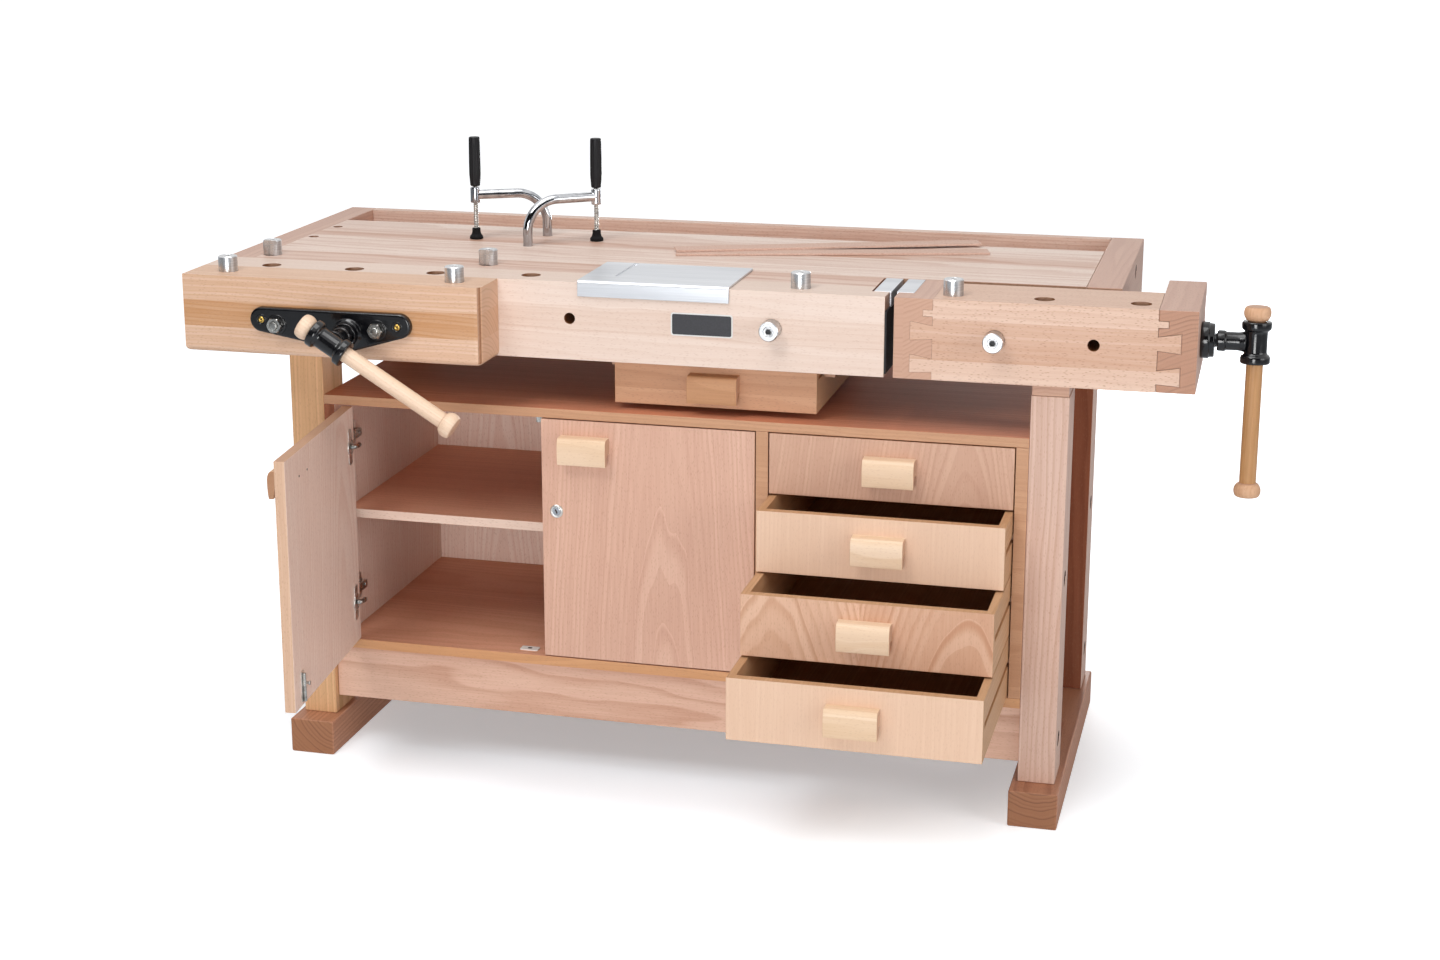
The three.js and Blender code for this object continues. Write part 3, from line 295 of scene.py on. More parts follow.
# Cuts that several woods share: shift moves the grid of staves so that no joint falls on a board
legCut = {"grain": "z", "stave": (4000, 450, 1200), "shift": (0.5, 0.333, 0.667)}
crossCut = {"grain": "y", "stave": (4000, 300, 900), "light": "dcbba8", "dark": "bd9483"}
crownCut = {"grain": "z", "stave": (4000, 600, 368), "shift": (0.5, 0.5, 0.6087), "spread": (900, 40, 160),
            "pith": (0, 40, -80), "taper": 0.05}
levelCut = {"stave": (4000, 300, 210)}
drawerCut = {"grain": "z", "stave": (105, 600, 410), "shift": (0.043, 0.5, 0.4)}
pullCut = {"stave": (4000, 900, 105)}
barCut = {"stave": (4000, 900, 900)}
woods = {
    # laminated top, staves of 41 mm side by side
    "top": beech("oiledBeechTop", stave=(4000, 41.4, 900), shift=(0.5, 0.07, 0.0), staveTone=0.8,
                 fibreTone=0.8, lateTone=0.5, light="ecd7ca", dark="c69b85"),
    "apron": beech("oiledBeechApron", stave=(4000, 900, 43.33), shift=(0.5, 0.5, 0.153), light="efddd1",
                   dark="d9bba8", lateTone=0.5, fleckShare=0.2),
    "jaw": beech("oiledBeechJaw", stave=(4000, 900, 43.33), shift=(106.5, 0.5, 0.153), light="e2bfa6",
                 dark="c28c5c", end="d8ad8e", staveTone=0.75),
    "beam": beech("oiledBeechBeam", stave=(4000, 900, 32.5), shift=(34.5, 0.5, 0.538), light="e3c4b0",
                  dark="c7987b", staveTone=0.6, fleckShare=0.55),
    "across": beech("oiledBeechAcross", **crossCut, end="c4967b"),
    "cap": beech("oiledBeechCap", **crossCut, end="ad7858", fleck="80502f", endTone=0.7),
    "rail": beech("oiledBeechRail", stave=(4000, 450, 400), light="eec8b1", dark="bd886c", ring=9, wander=24,
                  lateTone=0.95, ringTone=0.4, taper=0.02),
    "leg": beech("oiledBeechLeg", **legCut, light="e2c3b2", dark="bb8f79", lateTone=0.5),
    "brownLeg": beech("oiledBeechLegBrown", **legCut, light="eabb8e", dark="c0905f", lateTone=0.6),
    "foot": beech("steamedBeechFoot", grain="y", stave=(4000, 1200, 400), shift=(0.5, 0.667, 0.0),
                  light="d29a78", dark="a56c50", end="99643f", fleck="6a4029", lateTone=0.6, endTone=0.8),
    "veneer": beech("crownCutBeechVeneer", **crownCut, light="e9c2ab", dark="c89780", fibreTone=0.6,
                    lateTone=0.4),
    # darker, redder beech: painted shade, for faces that lie in shade
    "paintedShadeRed": beech("paintedShadeBeechRed", grain="z", stave=(4000, 600, 368), light="a4664b", dark="7c452e",
                 rough=0.7, lateTone=0.6, shine=0.2),
    # paler veneer for the cabinet's left side and back and the left door's inner face: painted light inside
    # the open cabinet
    "paintedLightVeneer": beech("crownCutBeechVeneerPaintedLight", **crownCut, light="f6e0d2", dark="e2bcaa", fibreTone=0.7,
                        lateTone=0.6),
    # cabinet top, shelf and floor: redder, darker beech, painted shade for the reddened shade under the bench
    # top and inside the cabinet
    "level": beech("shadeReddenedBeechTop", **levelCut, light="eaa583", dark="c27453", shine=0.02),
    "shelf": beech("shadeReddenedBeechShelf", **levelCut, light="f0b99c", dark="c98b6c", shine=0.1),
    # till front and pull: darker brown beech, painted shade where the till stands back under the apron
    "till": beech("oiledBeechTillShaded", stave=(4000, 900, 34), light="d3a27e", dark="b47c55", fleckShare=0.5),
    "tillPull": beech("planedBeechPullShaded", **pullCut, light="c9956b", dark="a46e45", ring=4.5),
    "figuredDrawer": beech("flamedBeechDrawer", grain="z", stave=(105, 600, 300), shift=(0.043, 0.5, 0.91),
                           spread=(300, 20, 30), pith=(-150, 30, -15), taper=0.14, ring=7, light="e6bfa3",
                           dark="c08a68", lateTone=0.65),
    "pinkDrawer": beech("crownCutBeechDrawer", **drawerCut, spread=(900, 30, 260), pith=(0, 40, -130),
                        taper=0.12, light="dcb59b", dark="c09178", lateTone=0.45),
    "paleDrawer": beech("riftBeechDrawer", **drawerCut, spread=(900, 60, 100), pith=(0, 200, 200),
                        light="edcdb3", dark="d9b092", ringTone=0.15, lateTone=0.2, fleckShare=0.12),
    "drawerSide": beech("planedBeechSide", grain="y", **pullCut, light="d5ac87", dark="b3855b"),
    "edge": beech("beechEdging", grain="z", **barCut, light="dfbca0", dark="c89b7c", ring=4),
    "brownEdge": beech("beechEdgingBrown", **barCut, light="d0a07c", dark="b17d58", ring=4),
    "goldEdge": beech("beechEdgingGolden", **barCut, light="d9a273", dark="bd8354", ring=4),
    # pale beech edging; on the drawer fronts' edges its paleness is partly a painted highlight
    "paleEdgeAndHighlight": beech("beechEdgingPaleAndHighlight", **pullCut, light="efd8c9", dark="dcbca8", ring=4),
    "pull": beech("planedBeechPull", **pullCut, light="f1d8be", dark="dab48c", ring=4.5, fleckShare=0.15),
    "sidePull": beech("planedBeechPullAcross", grain="y", **pullCut, light="e6c4a2", dark="c99a72",
                      end="a5714c"),
    "handle": beech("turnedBeechPale", grain="handle", **barCut, light="f3dac4", dark="e2bf9f", ring=5,
                    fleckShare=0.2),
    "tailBar": beech("turnedBeechGolden", grain="z", **barCut, light="cf9f70", dark="ab7844", ring=5),
    "knob": beech("turnedBeechKnob", grain="z", **barCut, light="e0b795", dark="c6946e", ring=5),
    # darker beech on the walls of holes: end grain, with painted shade inside the holes
    "bore": beech("drilledBeechShaded", grain="y", light="a9764f", dark="7a4a2c"),
}


# Black gloss enamel on sand-cast iron: a deep shine over the slightly pebbled casting.
# Pebbles of about 4 mm and worn patches of about 22 mm
def castEnamel():
    finish, tree = newFinish("blackEnamelIron")
    place = addNode(tree, "ShaderNodeTexCoord")["Object"]
    pebble = addNode(tree, "ShaderNodeTexNoise", {"Vector": place, "Scale": 260, "Detail": 2})[0]
    wear = addNode(tree, "ShaderNodeTexNoise", {"Vector": place, "Scale": 45, "Detail": 4})[0]
    gloss = addNode(tree, "ShaderNodeMapRange", {"Value": wear, "From Min": 0.35, "From Max": 0.75,
                                                 "To Min": 0.1, "To Max": 0.22})[0]
    tint = addNode(tree, "ShaderNodeMix", {0: wear, 6: colour("08080a"), 7: colour("151518")},
                   data_type="RGBA")[2]
    bump = addNode(tree, "ShaderNodeBump", {"Height": pebble, "Strength": 0.18, "Distance": 0.0006})[0]
    shader = addNode(tree, "ShaderNodeBsdfPrincipled", {"Base Color": tint, "Roughness": gloss,
                                                        "Normal": bump, "IOR": 1.52})[0]
    addNode(tree, "ShaderNodeOutputMaterial", {"Surface": shader})
    return finish


# A metal: lines is the spacing in millimetres of its tool marks on Object X, Y and Z, cloud that of its broad
# tones. Turned metal has them on UV instead, where X is a share of the turn in thousandths
def metal(name, light, dark, rough, lines, cloud, depth=0.1, turned=False):
    finish, tree = newFinish(name)
    place = addNode(tree, "ShaderNodeTexCoord")["UV" if turned else "Object"]
    marks, broad = [addNode(tree, "ShaderNodeVectorMath", {0: place, 1: tuple(1000 / np.array(size, float))},
                            operation="MULTIPLY")[0] for size in (lines, cloud)]
    fine = addNode(tree, "ShaderNodeTexNoise", {"Vector": marks, "Scale": 1, "Detail": 1})[0]
    slow = addNode(tree, "ShaderNodeTexNoise", {"Vector": broad, "Scale": 1, "Detail": 1})[0]
    both = addNode(tree, "ShaderNodeMath", {0: fine, 1: 0.35, 2: slow}, operation="MULTIPLY_ADD")[0]
    tint = addNode(tree, "ShaderNodeMapRange", {"Value": both, "From Min": 0.45, "From Max": 0.9})[0]
    base = addNode(tree, "ShaderNodeMix", {0: tint, 6: colour(dark), 7: colour(light)}, data_type="RGBA")[2]
    gloss = addNode(tree, "ShaderNodeMapRange", {"Value": both, "From Min": 0.45, "From Max": 0.9,
                                                 "To Min": rough * 1.25, "To Max": rough * 0.8})[0]
    bump = addNode(tree, "ShaderNodeBump", {"Height": fine, "Strength": depth, "Distance": 0.0002})[0]
    shader = addNode(tree, "ShaderNodeBsdfPrincipled", {"Base Color": base, "Roughness": gloss,
                                                        "Normal": bump, "Metallic": 1.0})[0]
    addNode(tree, "ShaderNodeOutputMaterial", {"Surface": shader})
    return finish


# A moulded or rolled dull stuff: fine grit in colour, gloss and relief.
# The grit is in millimetres, drawn coarse
def dull(name, light, dark, rough, grit, depth=0.3, shine=0.5):
    finish, tree = newFinish(name)
    place = addNode(tree, "ShaderNodeTexCoord")["Object"]
    grains = addNode(tree, "ShaderNodeTexNoise", {"Vector": place, "Scale": 1000 / grit, "Detail": 3})[0]
    base = addNode(tree, "ShaderNodeMix", {0: grains, 6: colour(dark), 7: colour(light)}, data_type="RGBA")[2]
    gloss = addNode(tree, "ShaderNodeMapRange", {"Value": grains, "From Min": 0.3, "From Max": 0.7,
                                                 "To Min": rough + 0.08, "To Max": rough - 0.08})[0]
    bump = addNode(tree, "ShaderNodeBump", {"Height": grains, "Strength": depth, "Distance": 0.0003})[0]
    shader = addNode(tree, "ShaderNodeBsdfPrincipled", {"Base Color": base, "Roughness": gloss,
                                                        "Normal": bump, "IOR": 1.5,
                                                        "Specular IOR Level": shine})[0]
    addNode(tree, "ShaderNodeOutputMaterial", {"Surface": shader})
    return finish


enamel = castEnamel()
groundSteel = metal("groundSteel", "d8dade", "c3c5c9", 0.38, (120, 2.5, 2.5), (400, 60, 60))    # lines on X
turnedAluminium = metal("turnedAluminium", "e6e6e7", "a9aaac", 0.28, (1000, 2.2, 1000), (170, 60, 1000),
                        0.15, turned=True)
facedAluminium = metal("facedAluminium", "e4e4e5", "bdbebf", 0.36, (1000, 1.6, 1000), (1000, 9, 1000),
                       0.15, turned=True)
chrome = metal("polishedChrome", "e0e1e4", "9b9da2", 0.06, (60, 60, 60), (14, 14, 90), 0.0)
zinc = metal("zincPlatedSteel", "d2d1cc", "8e8d8a", 0.28, (5, 5, 5), (9, 9, 9))    # mottled zinc
brightSteel = metal("rolledBrightSteel", "cfd0d1", "97989b", 0.28, (2, 2, 30), (25, 25, 25))
brass = metal("sawnBrass", "d9b765", "a9853c", 0.3, (2, 2, 2), (8, 8, 8))
blackSteel = dull("blackOxideSteel", "1e1d1d", "100f0f", 0.6, 3)
nickel = metal("nickelPlatedSteel", "f3f2ef", "c9c7c2", 0.34, (3, 3, 3), (20, 20, 20))
castIronAndSocketShade = dull("greyCastIronAndSocketShade", "5e6062", "3c3d40", 0.6, 3, 0.6)
gripPlastic = dull("mouldedBlackPlastic", "141318", "09090b", 0.46, 1.6, shine=0.3)
padRubber = dull("mouldedRubber", "151416", "0b0a0c", 0.75, 2, shine=0.2)
vulcanFibre = dull("blackVulcanFibre", "29292c", "161618", 0.65, 2.5)
plateInk = dull("anodisedPlateDark", "302f34", "222126", 0.42, 3, 0.1)
plateRim = dull("anodisedPlateRim", "e9e6e3", "d5d1cd", 0.35, 3, 0.1)
# near black: painted shade for the inside of holes, keyholes and sunk holes
paintedHoleShade = dull("paintedShadeInHoles", "331d12", "1b0e08", 0.8, 2)
whitePlastic = dull("mouldedWhitePlastic", "f2f0ec", "e2dfda", 0.4, 2)
linerCork = dull("corkFacedLiner", "e9cdbe", "c49a86", 0.75, 3.5, 0.6)
print("materials made:", len(bpy.data.materials))


# Meshes

# An outline whose inner corners are quadratic curves that start and end reach away along the two sides
def softened(corners, reach, steps=5):
    points = np.asarray(corners, float)
    middle = points[1:-1]
    back = points[:-2] - middle
    ahead = points[2:] - middle
    backLength = np.linalg.norm(back, axis=1, keepdims=True)
    aheadLength = np.linalg.norm(ahead, axis=1, keepdims=True)
    cut = np.minimum(reach, 0.45 * np.minimum(backLength, aheadLength))
    start = (middle + back / backLength * cut)[:, None]
    end = (middle + ahead / aheadLength * cut)[:, None]
    t = np.linspace(0, 1, steps)[None, :, None]
    curves = (1 - t) ** 2 * start + 2 * t * (1 - t) * middle[:, None] + t ** 2 * end
    return np.concatenate([points[:1], curves.reshape(-1, 2), points[-1:]])


# A line of points taken again at an even count of places along its index
def resampled(points, count):
    points = np.asarray(points, float)
    places = np.linspace(0, len(points) - 1, count)
    return np.stack([np.interp(places, np.arange(len(points)), column) for column in points.T], axis=1)


# An axis and two directions square to it
def crossAxes(axis):
    axis = unit(axis)
    helper = np.array([0, 0, 1.0]) if abs(axis[2]) < 0.9 else np.array([1.0, 0, 0])
    side = unit(np.cross(helper, axis))
    return axis, side, np.cross(axis, side)


# Turned work: point = base + along * axis + radius * (cos a * side + sin a * up).
# The profile gives along and radius, and shape may vary the radius with the angle
def turnedGrid(profile, base, axis, columns=48, shape=None):
    axis, side, up = crossAxes(axis)
    profile = np.asarray(profile, float)
    angle = np.arange(columns) * 2 * np.pi / columns
    radius = np.broadcast_to(profile[:, 1, None], (len(profile), columns))
    if shape is not None:
        radius = shape(profile[:, 0, None], radius, angle[None])
    ring = np.cos(angle)[:, None] * side + np.sin(angle)[:, None] * up
    return np.asarray(base, float) + profile[:, 0, None, None] * axis + radius[..., None] * ring[None]


# Hexagon: up to a limit, the radius is cut back to the flats, flat / cos(angle from the middle of the flat)
def hexagon(flat, limit=np.inf):
    def shape(travel, radius, angle):
        flats = flat / np.cos(np.mod(angle, np.pi / 3) - np.pi / 6)
        return np.where(radius <= limit, np.minimum(radius, flats), radius)
    return shape


# Thread: radius = crest - depth * triangle wave of (along / pitch - angle / full turn), pole to pole
def threadGrid(base, axis, length, radius, pitch, depth, columns=20, rowsPerTurn=6):
    along = np.linspace(0, length, int(length / pitch * rowsPerTurn))
    rows = np.concatenate([[[0, 0]], np.stack([along, np.full(len(along), radius)], axis=1), [[length, 0]]])

    def shape(travel, crest, angle):
        turns = travel / pitch - angle / (2 * np.pi)
        wave = np.abs(2 * (turns - np.floor(turns + 0.5)))
        return np.where(crest > 0, crest - depth * wave, 0)
    return turnedGrid(rows, base, axis, columns, shape)


# Bent bar: a circle carried along a flat path, square to it; the radius may change along the path
def bentGrid(path, radius, normal, columns):
    path = np.asarray(path, float)
    tangent = np.gradient(path, axis=0)
    tangent /= np.linalg.norm(tangent, axis=1, keepdims=True)
    side = np.cross(normal, tangent)
    angle = np.arange(columns) * 2 * np.pi / columns
    sideways = np.cos(angle)[None, :, None] * side[:, None]
    upward = np.sin(angle)[None, :, None] * np.asarray(normal)[None, None]
    return path[:, None] + np.asarray(radius, float)[:, None, None] * (sideways + upward)


# Rectangle with round corners: four quarter circles round the four corner centres
def roundedRectangle(width, height, radius, steps=6):
    quarter = np.linspace(0, np.pi / 2, steps)
    angle = (quarter[None] + np.arange(4)[:, None] * np.pi / 2).ravel()
    signs = np.array([[1, 1], [-1, 1], [-1, -1], [1, -1]])
    centres = np.repeat(signs * (np.array([width, height]) / 2 - radius), steps, axis=0)
    return centres + radius * np.stack([np.cos(angle), np.sin(angle)], axis=1)


# Mesh of a grid: rows along, columns round. UV is the share of the turn and the length along in metres
def gridMesh(points, closedRows=False, capped=False):
    rows, columns = points.shape[:2]
    index = np.arange(rows * columns).reshape(rows, columns)
    lower = index if closedRows else index[:-1]
    upper = np.roll(index, -1, axis=0) if closedRows else index[1:]
    quads = np.stack([lower, np.roll(lower, -1, axis=1), np.roll(upper, -1, axis=1), upper], axis=-1)
    faces = quads.reshape(-1, 4).tolist()
    if capped:
        faces += [index[0, ::-1].tolist(), index[-1].tolist()]
    mesh = bpy.data.meshes.new("grid")
    mesh.from_pydata(toFrame(points).reshape(-1, 3).tolist(), [], faces)
    steps = np.linalg.norm(np.diff(points, axis=0), axis=2).mean(axis=1)
    travel = np.concatenate([[0], np.cumsum(steps)]) * 0.001
    share = np.broadcast_to(np.arange(columns) / columns, (rows, columns))
    unwrapped = np.stack([share, np.broadcast_to(travel[:, None], (rows, columns))], axis=-1).reshape(-1, 2)
    corners = np.empty(len(mesh.loops), np.int32)
    mesh.loops.foreach_get("vertex_index", corners)
    mesh.uv_layers.new(name="along").data.foreach_set("uv", unwrapped[corners].astype(np.float32).ravel())
    return mesh


# Turned mesh of a profile with softened corners: reach is the softening's length in millimetres, columns the
# points round the axis, and steps those of each corner
def turned(corners, base, axis, reach, columns=48, steps=5):
    return gridMesh(turnedGrid(softened(corners, reach, steps), base, axis, columns))


# Slab: a rounded rectangle in the plane of two directions, carried a thickness along the third.
# block holds its width and height, the radius of its corners and its thickness
def slab(block, base, across, upward):
    size, corner, thickness = block
    across, upward = unit(across), unit(upward)
    outline = roundedRectangle(*size, corner)
    flat = np.asarray(base, float) + outline[:, :1] * across + outline[:, 1:] * upward
    return gridMesh(np.stack([flat, flat + np.cross(across, upward) * thickness]), capped=True)


# Edges: those that meet at more than an angle in degrees are drawn sharp, and rounded where a width is given
edges = {"sharp": 38, "rounded": 35, "segments": 3, "softSegments": 5}


# Puts a mesh into the scene. edge is the rounding's width at all edges, and soft that of those with a weight
def finishPiece(name, mesh, finishes, body, slot, replacing, edge, sharp, soft=0.0):
    for finish in finishes:
        mesh.materials.append(finish)
    mesh.shade_smooth()
    mesh.set_sharp_from_angle(angle=np.radians(sharp))
    piece = bpy.data.objects.new(name, mesh)
    scene.collection.objects.link(piece)
    for title, width, segments, limit in (("softEdges", soft, edges["softSegments"], "WEIGHT"),
                                          ("roundedEdges", edge, edges["segments"], "ANGLE")):
        if width:
            rounding = piece.modifiers.new(title, "BEVEL")
            rounding.width = width * 0.001
            rounding.segments = segments
            rounding.limit_method = limit
            rounding.angle_limit = np.radians(edges["rounded"])
            rounding.harden_normals = True
    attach(piece, body)
    if replacing:
        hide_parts(*replacing)


# Joins meshes into one piece, each with its own finish. Poles are merged and faces turned outwards
def makePiece(name, parts, body, slot, replacing=(), edge=0.0, sharp=edges["sharp"]):
    joined = bmesh.new()
    finishes = []
    for mesh, finish in parts:
        if finish not in finishes:
            finishes.append(finish)
        numbers = np.full(len(mesh.polygons), finishes.index(finish), np.int32)
        mesh.polygons.foreach_set("material_index", numbers)
        joined.from_mesh(mesh)
        bpy.data.meshes.remove(mesh)
    bmesh.ops.remove_doubles(joined, verts=joined.verts, dist=1e-6)
    bmesh.ops.recalc_face_normals(joined, faces=joined.faces)
    whole = bpy.data.meshes.new(name)
    joined.to_mesh(whole)
    joined.free()
    finishPiece(name, whole, finishes, body, slot, replacing, edge, sharp)


# One kind of value of a mesh's vertices, edges, corners or faces, as an array of rows
def readValues(rows, name, width, kind=np.float32):
    values = np.empty(len(rows) * width, kind)
    rows.foreach_get(name, values)
    return values.reshape(-1, width)


# A solid piece of the CAD model with its triangles merged into whole faces and its edges eased.
# choose gets each face's centre in bench millimetres and its direction, and gives the number of its finish.
# softEdges gets the ends of each edge, and gives 1 for those that are rounded more.
# cuts are heights of level lines that keep the faces round a hole off the board's corners,
# where the rounding starts
def dress(node, finishes, edge, choose=None, softEdges=None, soft=0.0, cuts=()):
    source = frame["nodes"][node].data
    places = readValues(source.vertices, "co", 3)
    corners = readValues(source.loops, "vertex_index", 1, np.int32).ravel()
    merged, inverse = np.unique(np.round(places, 6), axis=0, return_inverse=True)
    triangles = inverse.ravel()[corners].reshape(-1, 3)
    distinct = (np.diff(np.sort(triangles, axis=1), axis=1) > 0).all(axis=1)
    mesh = bpy.data.meshes.new(node + ".dressed")
    mesh.from_pydata(merged.tolist(), [], triangles[distinct].tolist())
    whole = bmesh.new()
    whole.from_mesh(mesh)
    for height in cuts:
        made = bmesh.ops.bisect_plane(whole, geom=whole.verts[:] + whole.edges[:] + whole.faces[:],
                                      plane_co=(0, 0, height * 0.001), plane_no=toTop)["geom_cut"]
        for line in made:
            if isinstance(line, bmesh.types.BMEdge):
                line.seam = True
    bmesh.ops.dissolve_limit(whole, angle_limit=np.radians(1), verts=whole.verts, edges=whole.edges,
                             delimit={"SEAM"})
    whole.to_mesh(mesh)
    whole.free()
    if choose:
        centres = toBench(readValues(mesh.polygons, "center", 3))
        chosen = choose(centres, readValues(mesh.polygons, "normal", 3))
        mesh.polygons.foreach_set("material_index", chosen.astype(np.int32))
    if softEdges:
        ends = readValues(mesh.edges, "vertices", 2, np.int32)
        points = toBench(readValues(mesh.vertices, "co", 3))
        share = softEdges(points[ends]).astype(np.float32)
        mesh.attributes.new("bevel_weight_edge", "FLOAT", "EDGE").data.foreach_set("value", share)
    finishPiece(node + ".dressed", mesh, finishes, nodeBody[node], nodeSlot[node], [node], edge,
                edges["sharp"], soft)


# Frame, top, cabinet and wooden vise parts: the CAD boards of each wood, and the width of their eased edges
boards = {
    "foot": (["left_foot", "right_foot"], 3.0),
    "leg": (["right_front_leg", "right_rear_leg"], 1.6),
    "brownLeg": (["left_front_leg", "left_rear_leg"], 1.6),
    "rail": (["front_stretcher", "rear_stretcher", "rear_beam", "tray_floor"], 1.6),
    "across": (["left_bearer", "right_bearer", "left_end_board", "right_end_board", "tail_jaw_block"], 1.6),
    "cap": (["tail_end_cap"], 1.6),
    "top": (["top_panel", "back_rail"], 0.8),
    "apron": (["front_apron"], 1.6),
    "beam": (["tail_front_beam"], 0.8),
    "level": (["cabinet_top"], 0.8),
    "shelf": (["cabinet_bottom", "cabinet_shelf"], 0.8),
    "veneer": (["cabinet_divider", "cabinet_right_side"], 0.8),
    "paintedLightVeneer": (["cabinet_left_side", "cabinet_back"], 0.8),
}
# Finishes of some boards' front faces. The darker, redder beech on the cabinet's left side front edge and on
# the right rear leg's front face is painted shade where those faces lie in shade
frontWoods = {"cabinet_bottom": "goldEdge", "cabinet_top": "brownEdge", "cabinet_shelf": "paleEdgeAndHighlight",
              "cabinet_left_side": "paintedShadeRed", "cabinet_divider": "brownEdge", "cabinet_right_side": "brownEdge",
              "right_rear_leg": "paintedShadeRed"}
plainHollows = ("level", "shelf", "veneer", "paintedLightVeneer", "across", "cap", "rail")    # hollows like the board
legCuts = (100, 152, 376, 428)    # above and below the sunk holes
wallInset = 1.5    # the middle of a hole's wall lies further than this inside a board's box
frontDepth = 1    # and that of a front edge no further than this


# The finish of each face of a board: 1 for the walls of holes, which lie inside its box,
# 2 for edges at its front
def boardFaces(node):
    low, high = benchBox(node)

    def choose(places, normals):
        inside = (np.minimum(places - low, high - places) > wallInset).all(axis=1)
        front = (normals[:, 1] < -0.9) & (places[:, 1] < low[1] + frontDepth)
        return np.where(inside, 1, np.where(front, 2, 0))
    return choose


for wood, (nodes, edge) in boards.items():
    for node in nodes:
        # the walls of holes take darker beech; in the legs and end boards they are painted shade
        hollow = woods["bore"]
        if "leg" in node or "end_board" in node:
            hollow = paintedHoleShade
        elif wood in plainHollows:
            hollow = woods[wood]
        cuts = legCuts if "leg" in node else ()
        finishes = [woods[wood], hollow, woods[frontWoods.get(node, wood)]]
        dress(node, finishes, edge, boardFaces(node), cuts=cuts)

jaw = {"edge": 2.0, "softEdge": 8, "underneath": 731, "left": 1, "right": 513, "front": -86}


# The jaw's edges underneath are rounded by hand, all but the one that meets the apron
def jawSoftEdges(ends):
    underneath = (ends[..., 2] < jaw["underneath"]).all(axis=1)
    outer = (ends[..., 0] < jaw["left"]) | (ends[..., 0] > jaw["right"]) | (ends[..., 1] < jaw["front"])
    return underneath & outer.all(axis=1)


dress("front_jaw", [woods["jaw"], woods["bore"], woods["jaw"]], jaw["edge"], boardFaces("front_jaw"),
      jawSoftEdges, jaw["softEdge"])
print("boards dressed:", sum(len(nodes) for nodes, edge in boards.values()))

# Doors, drawers and till: veneered fronts, edging and planed pulls. Depths of faces in bench millimetres,
# and for the left door from its hinge
doors = {"swing": np.radians(84), "hinge": (231.5, 4.5), "face": 5.5, "innerFace": 23.6, "rightFace": 10.0}
drawers = {
    "drawer_1": ("pinkDrawer", "pull", 10),
    "drawer_2": ("paleDrawer", "pull", -81),
    "drawer_3": ("figuredDrawer", "pull", -189),
    "drawer_4": ("paleDrawer", "pull", -283),
    "till_drawer": ("till", "tillPull", 38),
}
frontThickness = 16
slack = 0.2    # a face counts as in front of a plane by this much
openAlong = np.array([np.cos(doors["swing"]), -np.sin(doors["swing"]), 0])    # along the open left door
openInward = np.array([np.sin(doors["swing"]), np.cos(doors["swing"]), 0])    # square to it, to its inside
leftHinge = np.array([*doors["hinge"], 0])


def leftDoorFaces(places, normals):
    onPull = (places - leftHinge) @ openInward < doors["face"] - slack
    onEdge = np.abs(normals @ openInward) < 0.5
    onInside = normals @ openInward > 0.5
    return np.select([onPull, onEdge, onInside], [2, 1, 3], 0)


def rightDoorFaces(places, normals):
    onPull = places[:, 1] < doors["rightFace"] - slack
    return np.where(onPull, 2, np.where(np.abs(normals[:, 1]) < 0.5, 1, 0))


# the front's edges take the pale edging, partly a painted highlight
def drawerFaces(frontFace):
    def choose(places, normals):
        onPull = places[:, 1] < frontFace - slack
        onFront = (places[:, 1] < frontFace + frontThickness + slack) & (normals[:, 1] < 0.5)
        onEdge = onFront & (np.abs(normals[:, 1]) < 0.5)
        return np.select([onPull, onEdge, onFront], [2, 3, 0], 1)
    return choose


# the left door's inner face takes the paler veneer, painted light
dress("left_door", [woods[wood] for wood in ("veneer", "edge", "sidePull", "paintedLightVeneer")], 1.0, leftDoorFaces)
dress("right_door", [woods[wood] for wood in ("veneer", "edge", "pull")], 1.0, rightDoorFaces)
for node, (wood, pull, frontFace) in drawers.items():
    dress(node, [woods[wood] for wood in (wood, "drawerSide", pull, "paleEdgeAndHighlight")], 1.0, drawerFaces(frontFace))
print("doors and drawers dressed")

# Vises: mouth is the middle of the screw where it leaves the wood, and down runs along the handle
vises = {
    "front": {"mouth": (297, -87, 775), "out": toFront, "down": leaning(toRight, frontLean)},
    "tail": {"mouth": (1654, 105, 795), "out": toRight, "down": leaning(toFront, tailLean)},
}
handleWoods = {"front": ("handle", "handle"), "tail": ("tailBar", "knob")}

# Vise screws: a cast tee that the handle slides through, its neck with a collar, and the screw's thread
tee = {
    "reach": 84,    # from the mouth to the handle
    "length": 67,
    "bore": 13.5,
    "boreEdge": 1,
    "body": 17.5,
    "bodySlope": 4,
    "flange": 23,
    "flangeLength": 12,
    "neck": 14.5,
    "collar": 16.5,
    "collarStart": 25,
    "collarLength": 12,
    "collarSlope": 2,
    "flareStart": 8,    # the neck widens from this far before the barrel to this far inside it
    "flareEnd": 3,
    "flareInset": 0.5,
    "wallLeft": 0.1,    # the neck stops this far off the bore
    "screw": 12,
    "pitch": 6,
    "threadDepth": 2.2,
    "threadSink": 1,    # the thread goes this far into the collar
}
handle = {
    "radius": 13,
    "length": 258,
    "top": 33.8,
    "inKnob": 4,    # the bar goes this far into its knobs
    "knob": 21,
    "knobLength": 23,
    "knobShares": ((0, 0), (0, 0.66), (0.06, 0.8), (0.35, 1.0), (0.7, 1.0), (0.93, 0.9), (1, 0.76), (1, 0)),
}


def handleCentre(vise):
    return np.asarray(vise["mouth"], float) + tee["reach"] * unit(vise["out"])


